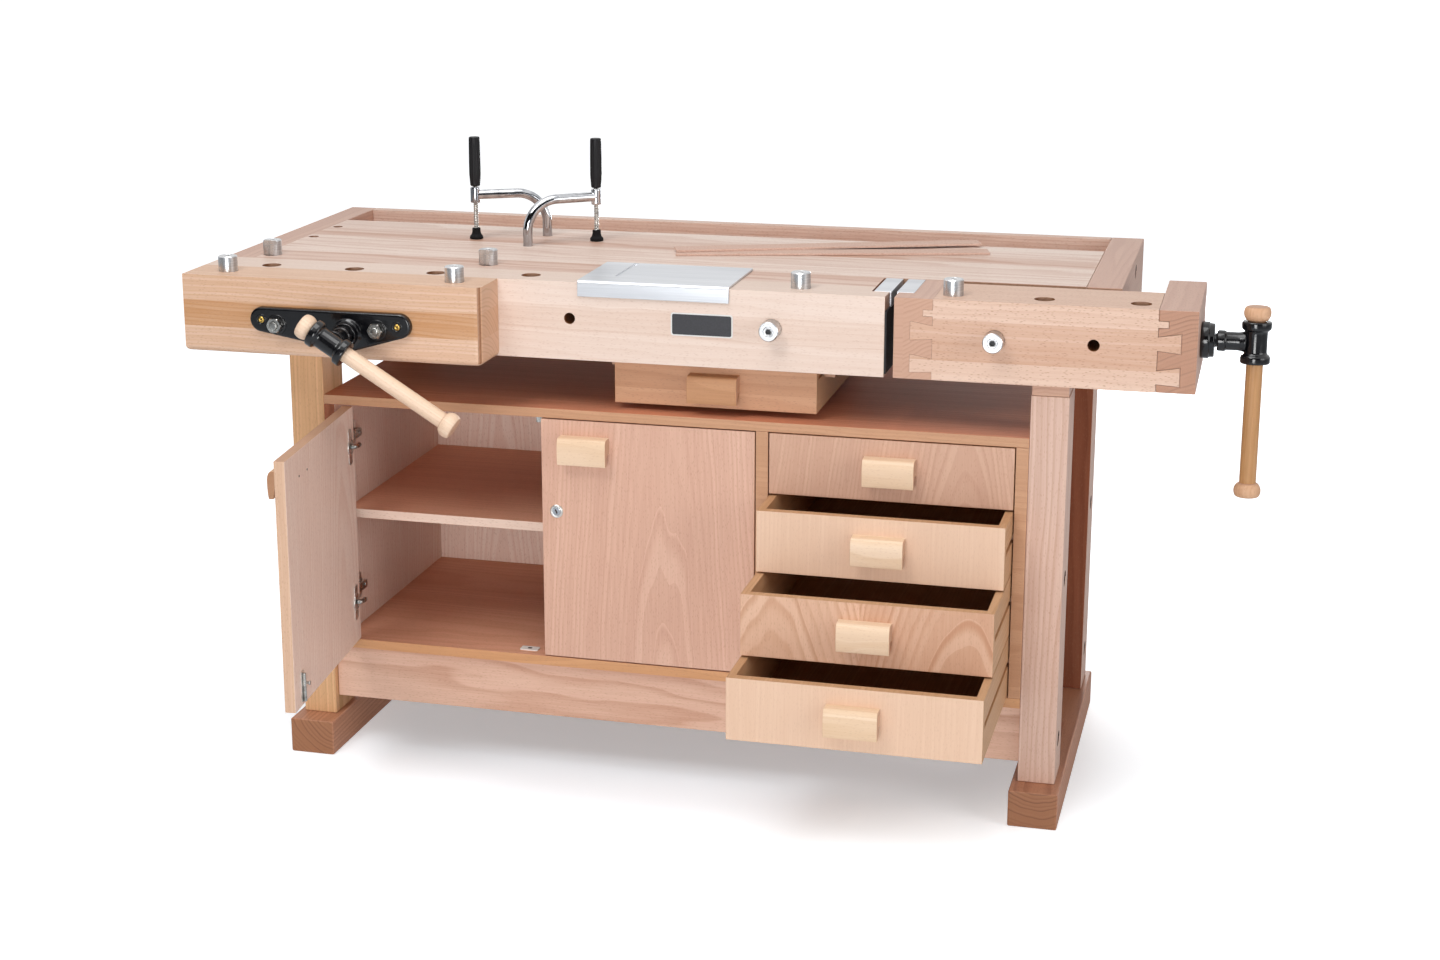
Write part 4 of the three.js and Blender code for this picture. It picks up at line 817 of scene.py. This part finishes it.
# The tee's barrel is a hollow turned ring, and its neck a turned bar that ends inside the barrel's wall
def viseScrew(side):
    node = side + "_vise_screw"
    vise = vises[side]
    mouth, out = vise["mouth"], vise["out"]
    half = tee["length"] / 2
    flat = half - tee["flangeLength"]
    waist = flat - tee["bodySlope"]
    bore, rim = tee["bore"], tee["bore"] + tee["boreEdge"]
    outline = softened([
        (half - tee["boreEdge"], bore), (half, rim), (half, tee["flange"]), (flat, tee["flange"]),
        (waist, tee["body"]), (-waist, tee["body"]), (-flat, tee["flange"]), (-half, tee["flange"]),
        (-half, rim), (tee["boreEdge"] - half, bore), (0, bore),
    ], 3.2, 6)
    barrel = gridMesh(turnedGrid(outline, handleCentre(vise), vise["down"], 56), closedRows=True)
    collarStart, collarEnd = tee["collarStart"], tee["collarStart"] + tee["collarLength"]
    bodyStart = tee["reach"] - tee["body"]
    neck = turned([
        (collarStart, 0), (collarStart, tee["collar"]), (collarEnd, tee["collar"]),
        (collarEnd + tee["collarSlope"], tee["neck"]), (bodyStart - tee["flareStart"], tee["neck"]),
        (bodyStart + tee["flareEnd"], tee["body"] - tee["flareInset"]),
        (tee["reach"] - bore - tee["wallLeft"], 0),
    ], mouth, out, 2.5, 56, 6)
    innerEnd = min((corner - mouth) @ np.array(out) for corner in benchBox(node))
    screwLength = collarStart - innerEnd + tee["threadSink"]
    screw = gridMesh(threadGrid(np.asarray(mouth) + innerEnd * unit(out), out, screwLength, tee["screw"],
                                tee["pitch"], tee["threadDepth"]))
    makePiece(node + ".cast", [(barrel, enamel), (neck, enamel), (screw, brightSteel)], side + "_screw",
              "black_enamel", [node])


# Handle: a turned bar between two barrel-shaped knobs
def viseHandle(side):
    node = side + "_vise_handle"
    vise = vises[side]
    barFinish, knobFinish = [woods[wood] for wood in handleWoods[side]]
    top, bottom = -handle["top"], handle["length"] - handle["top"]
    barTop, barBottom = top - handle["inKnob"], bottom + handle["inKnob"]
    centre, down = handleCentre(vise), vise["down"]
    bar = turned([(barTop, 0), (barTop, handle["radius"]), (barBottom, handle["radius"]), (barBottom, 0)],
                 centre, down, 1)
    knob = softened(np.array(handle["knobShares"]) * [handle["knobLength"], handle["knob"]], 5, 6)
    lower = gridMesh(turnedGrid(knob + [bottom, 0], centre, down))
    upper = gridMesh(turnedGrid(knob * [-1, 1] + [top, 0], centre, down))
    makePiece(node + ".turned", [(bar, barFinish), (lower, knobFinish), (upper, knobFinish)],
              side + "_handle", "turned_beech", [node], sharp=50)


for side in vises:
    viseScrew(side)
for side in vises:
    viseHandle(side)

# Front vise plate: the outline round three circles, drawn in by an inset at each step of the rounded edge.
# Turned fittings on it are profiles of along and radius
frontPlate = {
    "circles": np.array([(387, 791, 21), (145, 791, 21), (297, 775, 31)], float),
    "back": -87.3,
    "thickness": 10,
    "edge": [(0, 0.01), (0, 0), (8.5, 0.6), (10, 3.5), (10, 6)],    # out of the back, and inside the outline
    "boss": [(-4, 0), (-4, 27), (0.5, 26), (3.5, 20.5), (14, 20), (14, 0)],
    "rods": ((172, 784), (350, 784)),
    "rodRadius": 11,
    "rodSink": 4,
    "rodPad": [(-3, 0), (-3, 18), (1.6, 17), (1.6, 0)],
    "screws": ((145, 791), (385, 790)),
    "screwSeat": [(-3, 0), (-3, 10), (0.8, 9.4), (0.8, 7), (-1.2, 5), (-1.2, 0)],
    "screwHead": [(-2, 0), (-2, 5.4), (-0.2, 5.6), (1.2, 3.4), (0.4, 1.6), (-0.8, 0)],
}


nut = {
    "sink": 1.4,
    "flat": 11.6,
    "height": 11,
    "footEdge": 0.9,
    "topEdge": 1.4,
    "topShare": 1.02,    # the top's radius as a share of flat
    "mouth": 1.4,    # wider than the stud by this much
    "mouthDepth": 1.2,
    "stud": 6.5,
    "studSink": 3,
    "studOut": 1.5,
}


# Nut on a round-ended stud, standing out along an axis
def nutOnStud(base, axis):
    flat, height, stud = nut["flat"], nut["height"], nut["stud"]
    corner = flat / np.cos(np.pi / 6)
    floor, studFoot, studEnd = height - nut["mouthDepth"], height - nut["studSink"], height + nut["studOut"]
    profile = [(0, 0), (0, flat), (nut["footEdge"], corner), (height - nut["topEdge"], corner),
               (height, flat * nut["topShare"]), (height, stud + nut["mouth"]), (floor, stud), (floor, 0)]
    end = [(studFoot, 0), (studFoot, stud), (studEnd, stud), (studEnd, 0)]
    return [(gridMesh(turnedGrid(profile, base, axis, 48, hexagon(flat))), zinc),
            (turned(end, base, axis, 2.2, 28, 6), zinc)]


# Outline round circles: at each angle, the point of the circle that reaches furthest that way.
# steps gives how far out of the plate's back, and how far inside the outline, each row lies
def hullGrid(circles, steps, columns=160):
    angle = np.arange(columns) * 2 * np.pi / columns
    normal = np.stack([np.cos(angle), np.sin(angle)], axis=1)
    best = (normal @ circles[:, :2].T + circles[:, 2]).argmax(axis=1)
    radius = circles[best, 2][None] - steps[:, 1, None]
    flat = circles[best, :2][None] + radius[..., None] * normal[None]
    depth = np.broadcast_to(frontPlate["back"] - steps[:, 0, None], radius.shape)
    return np.stack([flat[..., 0], depth, flat[..., 1]], axis=-1)


plateFace = frontPlate["back"] - frontPlate["thickness"]
plateSteps = softened(frontPlate["edge"], 2.5, 6)
plateParts = [(gridMesh(hullGrid(frontPlate["circles"], plateSteps), capped=True), enamel)]
screwX, screwZ = vises["front"]["mouth"][::2]
plateParts.append((turned(frontPlate["boss"], (screwX, plateFace, screwZ), toFront, 2.4, 56, 6), enamel))
rodLength = benchBox("front_vise_plate")[1][1] - plateFace - frontPlate["rodSink"]
rodRadius = frontPlate["rodRadius"]
for x, z in frontPlate["rods"]:
    plateParts.append((turned(frontPlate["rodPad"], (x, plateFace, z), toFront, 1.2), enamel))
    plateParts += nutOnStud((x, plateFace - nut["sink"], z), toFront)
    rod = turned([(0, 0), (0, rodRadius), (rodLength, rodRadius), (rodLength, 0)],
                 (x, plateFace + frontPlate["rodSink"], z), toBack, 2, 32)
    plateParts.append((rod, brightSteel))
for x, z in frontPlate["screws"]:
    plateParts.append((turned(frontPlate["screwSeat"], (x, plateFace, z), toFront, 0.8, 32), enamel))
    plateParts.append((turned(frontPlate["screwHead"], (x, plateFace, z), toFront, 0.8, 24), brass))
makePiece("front_vise_plate.cast", plateParts, "front_jaw", "black_enamel", ["front_vise_plate"])

# Tail vise flange: a stepped round casting on the end cap
flangeLine = [(0.3, 0), (0.3, 29), (12.5, 29), (14, 27), (21.3, 26.5), (21.3, 17), (20.3, 0)]
flange = turned(flangeLine, vises["tail"]["mouth"], vises["tail"]["out"], 2.2, 64, 6)
makePiece("tail_vise_flange.cast", [(flange, enamel)], "tail_jaw", "black_enamel", ["tail_vise_flange"])
for node in ("front_vise_nut", "tail_vise_nut"):
    dress(node, [castIronAndSocketShade], 1.5)
print("vises made")

# Dogs: turned aluminium with a ring groove and a hexagon socket in the end. Two have a wedge face
dog = {
    "radius": 16,
    "proud": 26,
    "shoulder": 8,    # a row of points this far below the top
    "chamfer": 1.5,
    "chamferRow": 0.1,
    "groove": 8,
    "grooveWidth": 2,
    "grooveDepth": 1.2,
    "socket": 4.2,
    "socketDepth": 6,
    "socketRim": 1.2,
    "socketEdge": 0.8,
    "socketPoint": 1.6,
    "wedge": (6, 9),    # the wedge face's depth at its top and its foot
}
# the socket takes the darker grey iron, painted shade inside the hexagon socket
dogBands = ((0, 7, turnedAluminium), (6, 12, facedAluminium), (11, 14, castIronAndSocketShade))    # side, end and socket
dogPlaces = {
    "jaw_dog_left": ((64, -43.5, 798), toTop, 88, None),    # foot, axis, length, and where a wedge face looks
    "jaw_dog_right": ((467, -43.5, 798), toTop, 88, None),
    "apron_dog_top": ((1026, 42, 798), toTop, 88, None),
    "tail_dog_top": ((1272, 42, 798), toTop, 88, None),
    "apron_dog_front": ((988, 48, 799), toFront, 74, None),
    "tail_dog_front": ((1344, 48, 799), toFront, 74, None),
    "wedge_dog_left": ((71, 119, 798), toTop, 88, toFront),
    "wedge_dog_right": ((468, 119, 798), toTop, 88, toFront),
}


# A turned profile with a hexagon socket, where a wedge face draws back what lies beyond a leaning plane
def dogGrid(foot, axis, length, wedgeFacing):
    side, end = dog["radius"], dog["radius"] - dog["chamfer"]
    chamferFoot = length - dog["chamfer"]
    groove, half = dog["groove"], dog["grooveWidth"] / 2
    corner = dog["socket"] / np.cos(np.pi / 6)
    floor = length - dog["socketDepth"]
    profile = [
        (0, 0), (0, end), (dog["chamfer"], side), (length - dog["shoulder"], side),
        (chamferFoot - dog["chamferRow"], side), (chamferFoot, side), (length, end), (length, groove + half),
        (length - dog["grooveDepth"], groove), (length, groove - half), (length, corner + dog["socketRim"]),
        (length - dog["socketEdge"], corner), (floor, corner), (floor - dog["socketPoint"], 0),
    ]
    points = turnedGrid(profile, foot, axis, 96, hexagon(dog["socket"], corner))
    if wedgeFacing is not None:
        top = np.asarray(foot, float) + length * unit(axis)
        height = (points - top) @ unit(axis)
        depth = np.interp(height, [-dog["proud"], 0], [dog["wedge"][1], dog["wedge"][0]])
        beyond = (points - top) @ unit(wedgeFacing) - (side - depth)
        above = height > -dog["proud"] + 0.1
        points = points - np.where(above, np.maximum(beyond, 0), 0)[..., None] * unit(wedgeFacing)
    return points


for node, place in dogPlaces.items():
    rows = dogGrid(*place)
    bands = [(gridMesh(rows[first:last]), finish) for first, last, finish in dogBands]
    makePiece(node + ".turned", bands, node, "aluminium", [node], sharp=30)

# Steel plates: bent and ground, as the CAD has them
for node in ("fixed_jaw_plate", "tail_jaw_plate", "bench_plate"):
    dress(node, [groundSteel], 0.6)
print("dogs and plates made")

# Hold-downs: a bent chromed post with a boss, a threaded spindle with a fluted grip, and a pad
hold = {
    "posts": {"front": ((476, 306), 37.4), "rear": ((476, 417), 208.8)},    # place, and heading in degrees
    "top": 860,
    "below": 68,
    "rise": 80,
    "reach": 130,
    "bend": 55,
    "post": 8.5,
    "chamfer": 1.5,
    "pole": 0.01,    # keeps the path's first and last points apart, so that it has a direction there
    "boss": 9,
    "bossHeight": 28,
    "bossEdge": (2, 0.4),
    "tipInset": 2,    # the post ends this far off the boss's axis
    "tipRow": 4,
    "spindle": 4.5,
    "spindleFoot": 11.6,
    "spindleSink": 3,    # into the grip
    "gripGap": 2,
    "pitch": 3,
    "threadDepth": 0.9,
    "grip": 10.5,
    "gripLength": 88,
    "gripShares": ((0, 0), (0, 0.76), (0.02, 0.86), (0.25, 1.0), (0.6, 0.99), (0.96, 0.95), (1, 0.9), (1, 0)),
    "flutes": 16,
    "fluteDepth": 0.07,
    "fluteFade": 0.12,
    "pad": [(0.3, 0), (0.3, 11), (1, 12), (5, 12), (9, 8.5), (14, 7.5), (20, 7.5), (20, 5), (11.2, 5),
            (11.2, 0)],
}
bossLow, bossHigh = hold["rise"] - hold["bossHeight"] / 2, hold["rise"] + hold["bossHeight"] / 2
gripLow = bossHigh + hold["gripGap"]


# Post: straight up, round a quarter circle and level to the boss, with a closed end at each pole
def holdArm(row, post, outward):
    bend = np.linspace(0, np.pi / 2, 24)
    low, high, tip = -hold["below"], hold["rise"], hold["reach"] - hold["tipInset"]
    reach = np.concatenate([[0, 0, 0], hold["bend"] * (1 - np.cos(bend)),
                            [tip - hold["tipRow"], tip, tip + hold["pole"]]])
    rise = np.concatenate([[low, low + hold["pole"], low + hold["chamfer"]],
                           high - hold["bend"] * (1 - np.sin(bend)), [high, high, high]])
    radius = np.full(len(reach), hold["post"])
    radius[[0, 1, -1]] = [0, hold["post"] - hold["chamfer"], 0]
    path = post + reach[:, None] * outward + rise[:, None] * np.array(toTop)
    arm = gridMesh(bentGrid(path, radius, np.cross(toTop, outward), 28))
    edgeLength, edgeDepth = hold["bossEdge"]
    bossEnd = hold["boss"] - edgeDepth
    boss = turned([(bossLow, 0), (bossLow, bossEnd), (bossLow + edgeLength, hold["boss"]),
                   (bossHigh - edgeLength, hold["boss"]), (bossHigh, bossEnd), (bossHigh, 0)],
                  post + hold["reach"] * outward, toTop, 1.2, 36)
    node = row + "_holddown_arm"
    makePiece(node + ".bent", [(arm, chrome), (boss, chrome)], node, "chrome", [node])


# Flutes: the radius dips by a rounded wave of the angle, fading out at both ends
def fluted(travel, radius, angle):
    share = (travel - gripLow) / hold["gripLength"]
    fade = np.clip(share / hold["fluteFade"], 0, 1) * np.clip((1 - share) / hold["fluteFade"], 0, 1)
    return radius * (1 - hold["fluteDepth"] * fade * (0.5 - 0.5 * np.cos(hold["flutes"] * angle)) ** 2)


def holdSpindle(row, foot):
    stemLength = gripLow - hold["spindleFoot"] + hold["spindleSink"]
    stem = gridMesh(threadGrid(foot + [0, 0, hold["spindleFoot"]], toTop, stemLength, hold["spindle"],
                               hold["pitch"], hold["threadDepth"], 14))
    gripLine = np.array(hold["gripShares"]) * [hold["gripLength"], hold["grip"]] + [gripLow, 0]
    gripLine = resampled(softened(gripLine, 4, 8), 120)
    grip = gridMesh(turnedGrid(gripLine, foot, toTop, 80, fluted))
    node = row + "_holddown_spindle"
    makePiece(node + ".turned", [(stem, zinc), (grip, gripPlastic)], node, "black_plastic", [node], sharp=50)


def holdPad(row, foot):
    pad = turned(hold["pad"], foot, toTop, 1.6, 44, 6)
    node = row + "_holddown_pad"
    makePiece(node + ".moulded", [(pad, padRubber)], node, "black_plastic", [node])


for row, (place, heading) in hold["posts"].items():
    outward = np.array([np.cos(np.radians(heading)), np.sin(np.radians(heading)), 0])
    post = np.array([*place, hold["top"]], float)
    foot = post + hold["reach"] * outward
    holdArm(row, post, outward)
    holdSpindle(row, foot)
    holdPad(row, foot)
print("hold-downs made")


# A point on the open left door: along from its hinge, out of its inner face, height
def onLeftDoor(along, out, height):
    return leftHinge + along * openAlong + (doors["innerFace"] + out) * openInward + np.array([0, 0, height])


# Concealed hinges: cup plate, dished cup and link on the door, base plate and arm on the cabinet's side.
# Blocks are width and height, corner radius and thickness
hinge = {
    "heights": (558, 280),
    "along": 17,
    "cupPlate": ((18, 62), 6, -1.6),
    "sink": 0.4,
    "dish": [(-1, 0), (-1, 15), (2.4, 15), (2.4, 12.6), (0.6, 11), (0.6, 0)],
    "link": ((17, 1), (14, 7), (6, 11), (-3, 11)),    # along the door and out of it
    "linkRadius": 4.2,
    "linkPoints": 18,
    "base": ((40, 46), 7, 3.2),
    "basePlace": (222.8, 70),
    "arm": ((50, 15), 5, 8),
    "armPlace": (226, 72),
    "head": [(0, 0), (0, 4), (1.8, 3.4), (1.8, 0)],
    "headPlaces": ((234, 56), (234, 88)),
}
for number, height in enumerate(hinge["heights"], 1):
    cupPlate = slab(hinge["cupPlate"], onLeftDoor(hinge["along"], -hinge["sink"], height), openAlong, toTop)
    cup = turned(hinge["dish"], onLeftDoor(hinge["along"], 0, height), openInward, 0.8, 40)
    linkPath = [onLeftDoor(along, out, height) for along, out in hinge["link"]]
    linkPath = resampled(linkPath, hinge["linkPoints"])
    linkRadius = np.full(hinge["linkPoints"], hinge["linkRadius"])
    linkRadius[[0, -1]] = 0
    link = gridMesh(bentGrid(linkPath, linkRadius, toTop, 16))
    makePiece(f"left_door_hinge_cup_{number}", [(cupPlate, nickel), (cup, nickel), (link, zinc)], "left_door",
              "ground_steel")
    armParts = [(slab(hinge["base"], (*hinge["basePlace"], height), toBack, toTop), nickel),
                (slab(hinge["arm"], (*hinge["armPlace"], height), toBack, toTop), zinc)]
    armParts += [(turned(hinge["head"], (x, y, height), toRight, 0.8, 24), zinc)
                 for x, y in hinge["headPlaces"]]
    makePiece(f"left_door_hinge_arm_{number}", armParts, "bench", "ground_steel", edge=1.2)

# Lock in the right door: a rose, a barrel, and a keyway that stands askew, a dark slab of painted shade for
# the keyhole
lock = {
    "place": (618, doors["rightFace"], 465),
    "rose": [(-0.6, 0), (-0.6, 11.6), (1.2, 11.6), (2.4, 9.6), (2.4, 8.4), (1.6, 8), (1.6, 0)],
    "barrel": [(0, 0), (0, 7.6), (2.2, 7.4), (2.2, 0)],
    "keyway": ((2.2, 8), 1, 0.4),
    "keywayOut": (0, -2.1, 0),
    "keywayAcross": (0.9, 0, 0.4),
    "keywayUp": (-0.4, 0, 0.9),
}
keywayPlace = np.add(lock["place"], lock["keywayOut"])
lockParts = [(turned(lock["rose"], lock["place"], toFront, 0.8), nickel),
             (turned(lock["barrel"], lock["place"], toFront, 0.6, 40), chrome),
             (slab(lock["keyway"], keywayPlace, lock["keywayAcross"], lock["keywayUp"]), paintedHoleShade)]
makePiece("right_door_lock", lockParts, "right_door", "ground_steel")

# Surface bolt on the left door: a plate, a bar that slides up and down, and its knob
bolt = {
    "along": 322,
    "height": 240,
    "plate": ((14, 52), 2, -1.8),
    "sink": 0.4,
    "out": 4,
    "bar": [(-26, 0), (-26, 3), (22, 3), (22, 0)],
    "knob": [(0, 0), (0, 2), (6, 2), (7, 3.4), (10, 3.4), (10, 0)],
    "knobRise": 6,
}
boltPlate = slab(bolt["plate"], onLeftDoor(bolt["along"], -bolt["sink"], bolt["height"]), openAlong, toTop)
boltBar = turned(bolt["bar"], onLeftDoor(bolt["along"], bolt["out"], bolt["height"]), toTop, 1, 20)
knobPlace = onLeftDoor(bolt["along"], bolt["out"], bolt["height"] + bolt["knobRise"])
boltKnob = turned(bolt["knob"], knobPlace, openInward, 0.8, 20)
makePiece("left_door_bolt", [(boltPlate, nickel), (boltBar, zinc), (boltKnob, zinc)], "left_door",
          "ground_steel")

# Strike on the cabinet's floor, with its hole drawn as a dark slab of painted shade, and the catch under its
# top
strike = {"plate": ((32, 17), 3, 2.2), "place": (557, 37, 204.8), "hole": ((8, 6), 2.9, 0.1),
          "holePlace": (557, 37, 207.0)}
strikeParts = [(slab(strike["plate"], strike["place"], toRight, toBack), whitePlastic),
               (slab(strike["hole"], strike["holePlace"], toRight, toBack), paintedHoleShade)]
makePiece("door_strike", strikeParts, "bench", "ground_steel")
catch = {"block": ((15, 14), 2, 16), "place": (586, 45, 619), "edge": 0.8}
catchParts = [(slab(catch["block"], catch["place"], toRight, toTop), zinc)]
makePiece("door_catch", catchParts, "bench", "ground_steel", edge=catch["edge"])

# Two small screw holes in the left door's inner face, drawn as dark discs of painted shade
screwHoles = {"places": ((291, 582), (250, 582)), "line": [(0.25, 0), (0.25, 1.9), (-0.4, 1.9), (-0.4, 0)],
              "sink": 0.1}
holeParts = []
for along, height in screwHoles["places"]:
    base = onLeftDoor(along, -screwHoles["sink"], height)
    holeParts.append((gridMesh(turnedGrid(screwHoles["line"], base, openInward, 20)), paintedHoleShade))
makePiece("left_door_screw_holes", holeParts, "left_door", "ground_steel")

# Bare plate on the apron: a dark field in a light rim
plate = {"middle": (872.5, 799), "size": (103, 38), "corner": 4, "thickness": 1.2, "back": 0.2, "rim": 2.2,
         "fieldCorner": 3, "fieldThickness": 0.25, "fieldBack": -0.9}
plateX, plateZ = plate["middle"]
rimBlock = (plate["size"], plate["corner"], plate["thickness"])
fieldSize = [length - 2 * plate["rim"] for length in plate["size"]]
fieldBlock = (fieldSize, plate["fieldCorner"], plate["fieldThickness"])
apronPlateParts = [(slab(rimBlock, (plateX, plate["back"], plateZ), toRight, toTop), plateRim),
                   (slab(fieldBlock, (plateX, plate["fieldBack"], plateZ), toRight, toTop), plateInk)]
makePiece("apron_plate", apronPlateParts, "bench", "ground_steel")

# Black lining on the apron's end, facing the tail vise's jaw block
lining = {"block": ((152, 102), 2, 3), "place": (1169.9, 78, 785.5), "edge": 0.6}
liningParts = [(slab(lining["block"], lining["place"], toBack, toTop), vulcanFibre)]
makePiece("apron_end_lining", liningParts, "bench", "black_plastic", edge=lining["edge"])

# Bolts in the legs' and the right end board's sunk holes: a hexagon socket head on a washer each
sunkBolt = {
    "line": [(0, 0), (0, 11), (1.8, 11), (1.8, 7), (7.2, 7), (8, 6.2), (8, 4.6), (5, 4.4), (5, 0)],
    "socket": 3.9,
    "socketLimit": 4.6,
    "legs": ((163, -1), (1443, 1)),    # where the head stands across the bench, and which way it looks
    "depths": (52.5, 502.5),
    "heights": (126, 402),
    "endBoard": (1506, 462, 831.5),
}
boltPlaces = [((x, y, z), (way, 0, 0)) for x, way in sunkBolt["legs"] for y in sunkBolt["depths"]
              for z in sunkBolt["heights"]]
boltPlaces.append((sunkBolt["endBoard"], toRight))
socketShape = hexagon(sunkBolt["socket"], sunkBolt["socketLimit"])
sunkBolts = [(gridMesh(turnedGrid(sunkBolt["line"], base, axis, 48, socketShape)), blackSteel)
             for base, axis in boltPlaces]
makePiece("sunk_bolts", sunkBolts, "bench", "ground_steel")

# Two thin liners for the vise's jaws that lie on the top, one across the other, from end to end
liners = {"ends": (((752, 288, 862.3), (1276, 428, 862.3)), ((748, 300, 866.4), (1250, 500, 865.4))),
          "width": 40, "corner": 1.5, "thickness": 3.6, "edge": 0.5}
linerParts = []
for start, end in np.array(liners["ends"], float):
    along = unit(end - start)
    sideways = unit(np.cross(toTop, along))
    block = ((np.linalg.norm(end - start), liners["width"]), liners["corner"], liners["thickness"])
    base = (start + end) / 2 - np.cross(along, sideways) * liners["thickness"] / 2
    linerParts.append((slab(block, base, along, sideways), linerCork))
makePiece("jaw_liners", linerParts, "bench", "beech_veneer", edge=liners["edge"])
print("fittings made")

# Floor: white paper that keeps the bench's shadow and, to the camera and reflections, fades to white
# round the bench. middle and reach are those of an oval under the bench, in metres, and near and far
# are shares of it
floorLook = {
    "size": 60.0,
    "tone": "e2e9f0",
    "middle": (-0.08, 0.1),
    "reach": (0.78, 0.45),
    "near": 0.65,
    "far": 1.3,
    "lift": 0.27,
    "farLift": 0.85,
    "mirrored": 0.1,    # the lift's share in reflections
}
floorFinish, floorTree = newFinish("whitePaperFloor")
floorPlace = addNode(floorTree, "ShaderNodeTexCoord")["Object"]
ovalScale = [1 / reach for reach in floorLook["reach"]]
ovalShift = [-middle * scale for middle, scale in zip(floorLook["middle"], ovalScale)]
floorOval = addNode(floorTree, "ShaderNodeVectorMath", {0: floorPlace, 1: (*ovalScale, 0),
                                                        2: (*ovalShift, 0)}, operation="MULTIPLY_ADD")[0]
floorReach = addNode(floorTree, "ShaderNodeVectorMath", {0: floorOval}, operation="LENGTH")["Value"]
floorLift = addNode(floorTree, "ShaderNodeMapRange", {"Value": floorReach, "From Min": floorLook["near"],
                                                      "From Max": floorLook["far"],
                                                      "To Min": floorLook["lift"],
                                                      "To Max": floorLook["farLift"]},
                    interpolation_type="SMOOTHSTEP")[0]
floorRay = addNode(floorTree, "ShaderNodeLightPath")
mirrored = addNode(floorTree, "ShaderNodeMath", {0: floorRay["Is Glossy Ray"],
                                                1: floorRay["Is Transmission Ray"]}, operation="MAXIMUM")[0]
mirrored = addNode(floorTree, "ShaderNodeMath", {0: mirrored, 1: floorLook["mirrored"]},
                   operation="MULTIPLY")[0]
floorSeen = addNode(floorTree, "ShaderNodeMath", {0: mirrored, 1: floorRay["Is Camera Ray"]},
                    operation="MAXIMUM")[0]
floorLift = addNode(floorTree, "ShaderNodeMath", {0: floorSeen, 1: floorLift}, operation="MULTIPLY")[0]
floorShader = addNode(floorTree, "ShaderNodeBsdfPrincipled", {"Base Color": colour(floorLook["tone"]),
                                                             "Roughness": 0.9, "Emission Color": (1, 1, 1, 1),
                                                             "Emission Strength": floorLift})[0]
addNode(floorTree, "ShaderNodeOutputMaterial", {"Surface": floorShader})
half = floorLook["size"] / 2
floorMesh = bpy.data.meshes.new("floor")
floorCorners = [(-half, -half, 0), (half, -half, 0), (half, half, 0), (-half, half, 0)]
floorMesh.from_pydata(floorCorners, [], [(0, 1, 2, 3)])
floorMesh.materials.append(floorFinish)
floor = bpy.data.objects.new("floor", floorMesh)
scene.collection.objects.link(floor)

# Dark screen round the camera's side, seen in reflections alone: a drum wall,
# from a turn and a height in metres
screen = {"radius": 7.0, "low": 0.7, "high": 5.5, "from": 190, "to": 350, "tone": "1c1c1e"}
turn, height = np.meshgrid(np.radians(np.linspace(screen["from"], screen["to"], 33)),
                           np.array([screen["low"], screen["high"]]), indexing="xy")
wall = np.stack([screen["radius"] * np.cos(turn), screen["radius"] * np.sin(turn), height], axis=-1)
wallIndex = np.arange(wall[..., 0].size).reshape(wall.shape[:2])
wallFaces = np.stack([wallIndex[0, :-1], wallIndex[0, 1:], wallIndex[1, 1:], wallIndex[1, :-1]], axis=-1)
screenMesh = bpy.data.meshes.new("screen")
screenMesh.from_pydata(wall.reshape(-1, 3).tolist(), [], wallFaces.tolist())
screenMesh.materials.append(dull("blackStudioCloth", screen["tone"], screen["tone"], 0.9, 4))
screenPiece = bpy.data.objects.new("screen", screenMesh)
screenPiece.visible_camera = False
screenPiece.visible_diffuse = False
screenPiece.visible_shadow = False
screenPiece.visible_transmission = False
scene.collection.objects.link(screenPiece)

# World: white to the camera, reflections and glass, soft light all round for the rest
worldLook = {"seen": 1.0, "light": 0.22}
world = bpy.data.worlds.new("studio")
scene.world = world
world.use_nodes = True
worldTree = world.node_tree
worldTree.nodes.clear()
worldRay = addNode(worldTree, "ShaderNodeLightPath")
worldSeen = worldRay["Is Camera Ray"]
for kind in ("Is Glossy Ray", "Is Transmission Ray"):
    worldSeen = addNode(worldTree, "ShaderNodeMath", {0: worldSeen, 1: worldRay[kind]},
                        operation="MAXIMUM")[0]
worldStrength = addNode(worldTree, "ShaderNodeMapRange", {"Value": worldSeen, "To Min": worldLook["light"],
                                                          "To Max": worldLook["seen"]})[0]
worldLight = addNode(worldTree, "ShaderNodeBackground", {"Color": (1, 1, 1, 1), "Strength": worldStrength})[0]
addNode(worldTree, "ShaderNodeOutputWorld", {"Surface": worldLight})

# Soft boxes: place and aim in bench millimetres, width in metres, power in watts
softBoxes = {
    "keyBox": {"place": (-400, -2300, 3500), "aim": (800, 0, 600), "width": 1.2, "power": 38},
    "frontBox": {"place": (1100, -4600, 760), "aim": (700, 0, 420), "width": 1.6, "power": 84},
    "sideBox": {"place": (4300, -1300, 1500), "aim": (900, 100, 500), "width": 1.8, "power": 38},
    "backBox": {"place": (900, 4600, 520), "aim": (880, 600, 420), "width": 0.9, "power": 60},
    "topBox": {"place": (700, -500, 3700), "aim": (880, 100, 860), "width": 2.0, "power": 45},
}
for name, box in softBoxes.items():
    lampData = bpy.data.lights.new(name, "AREA")
    lampData.shape = "SQUARE"
    lampData.size = box["width"]
    lampData.energy = box["power"]
    lamp = bpy.data.objects.new(name, lampData)
    lampPlace, aim = Vector(toFrame(box["place"])), Vector(toFrame(box["aim"]))
    lamp.location = lampPlace
    lamp.rotation_euler = (aim - lampPlace).to_track_quat("-Z", "Y").to_euler()
    scene.collection.objects.link(lamp)
print("stage and light set")
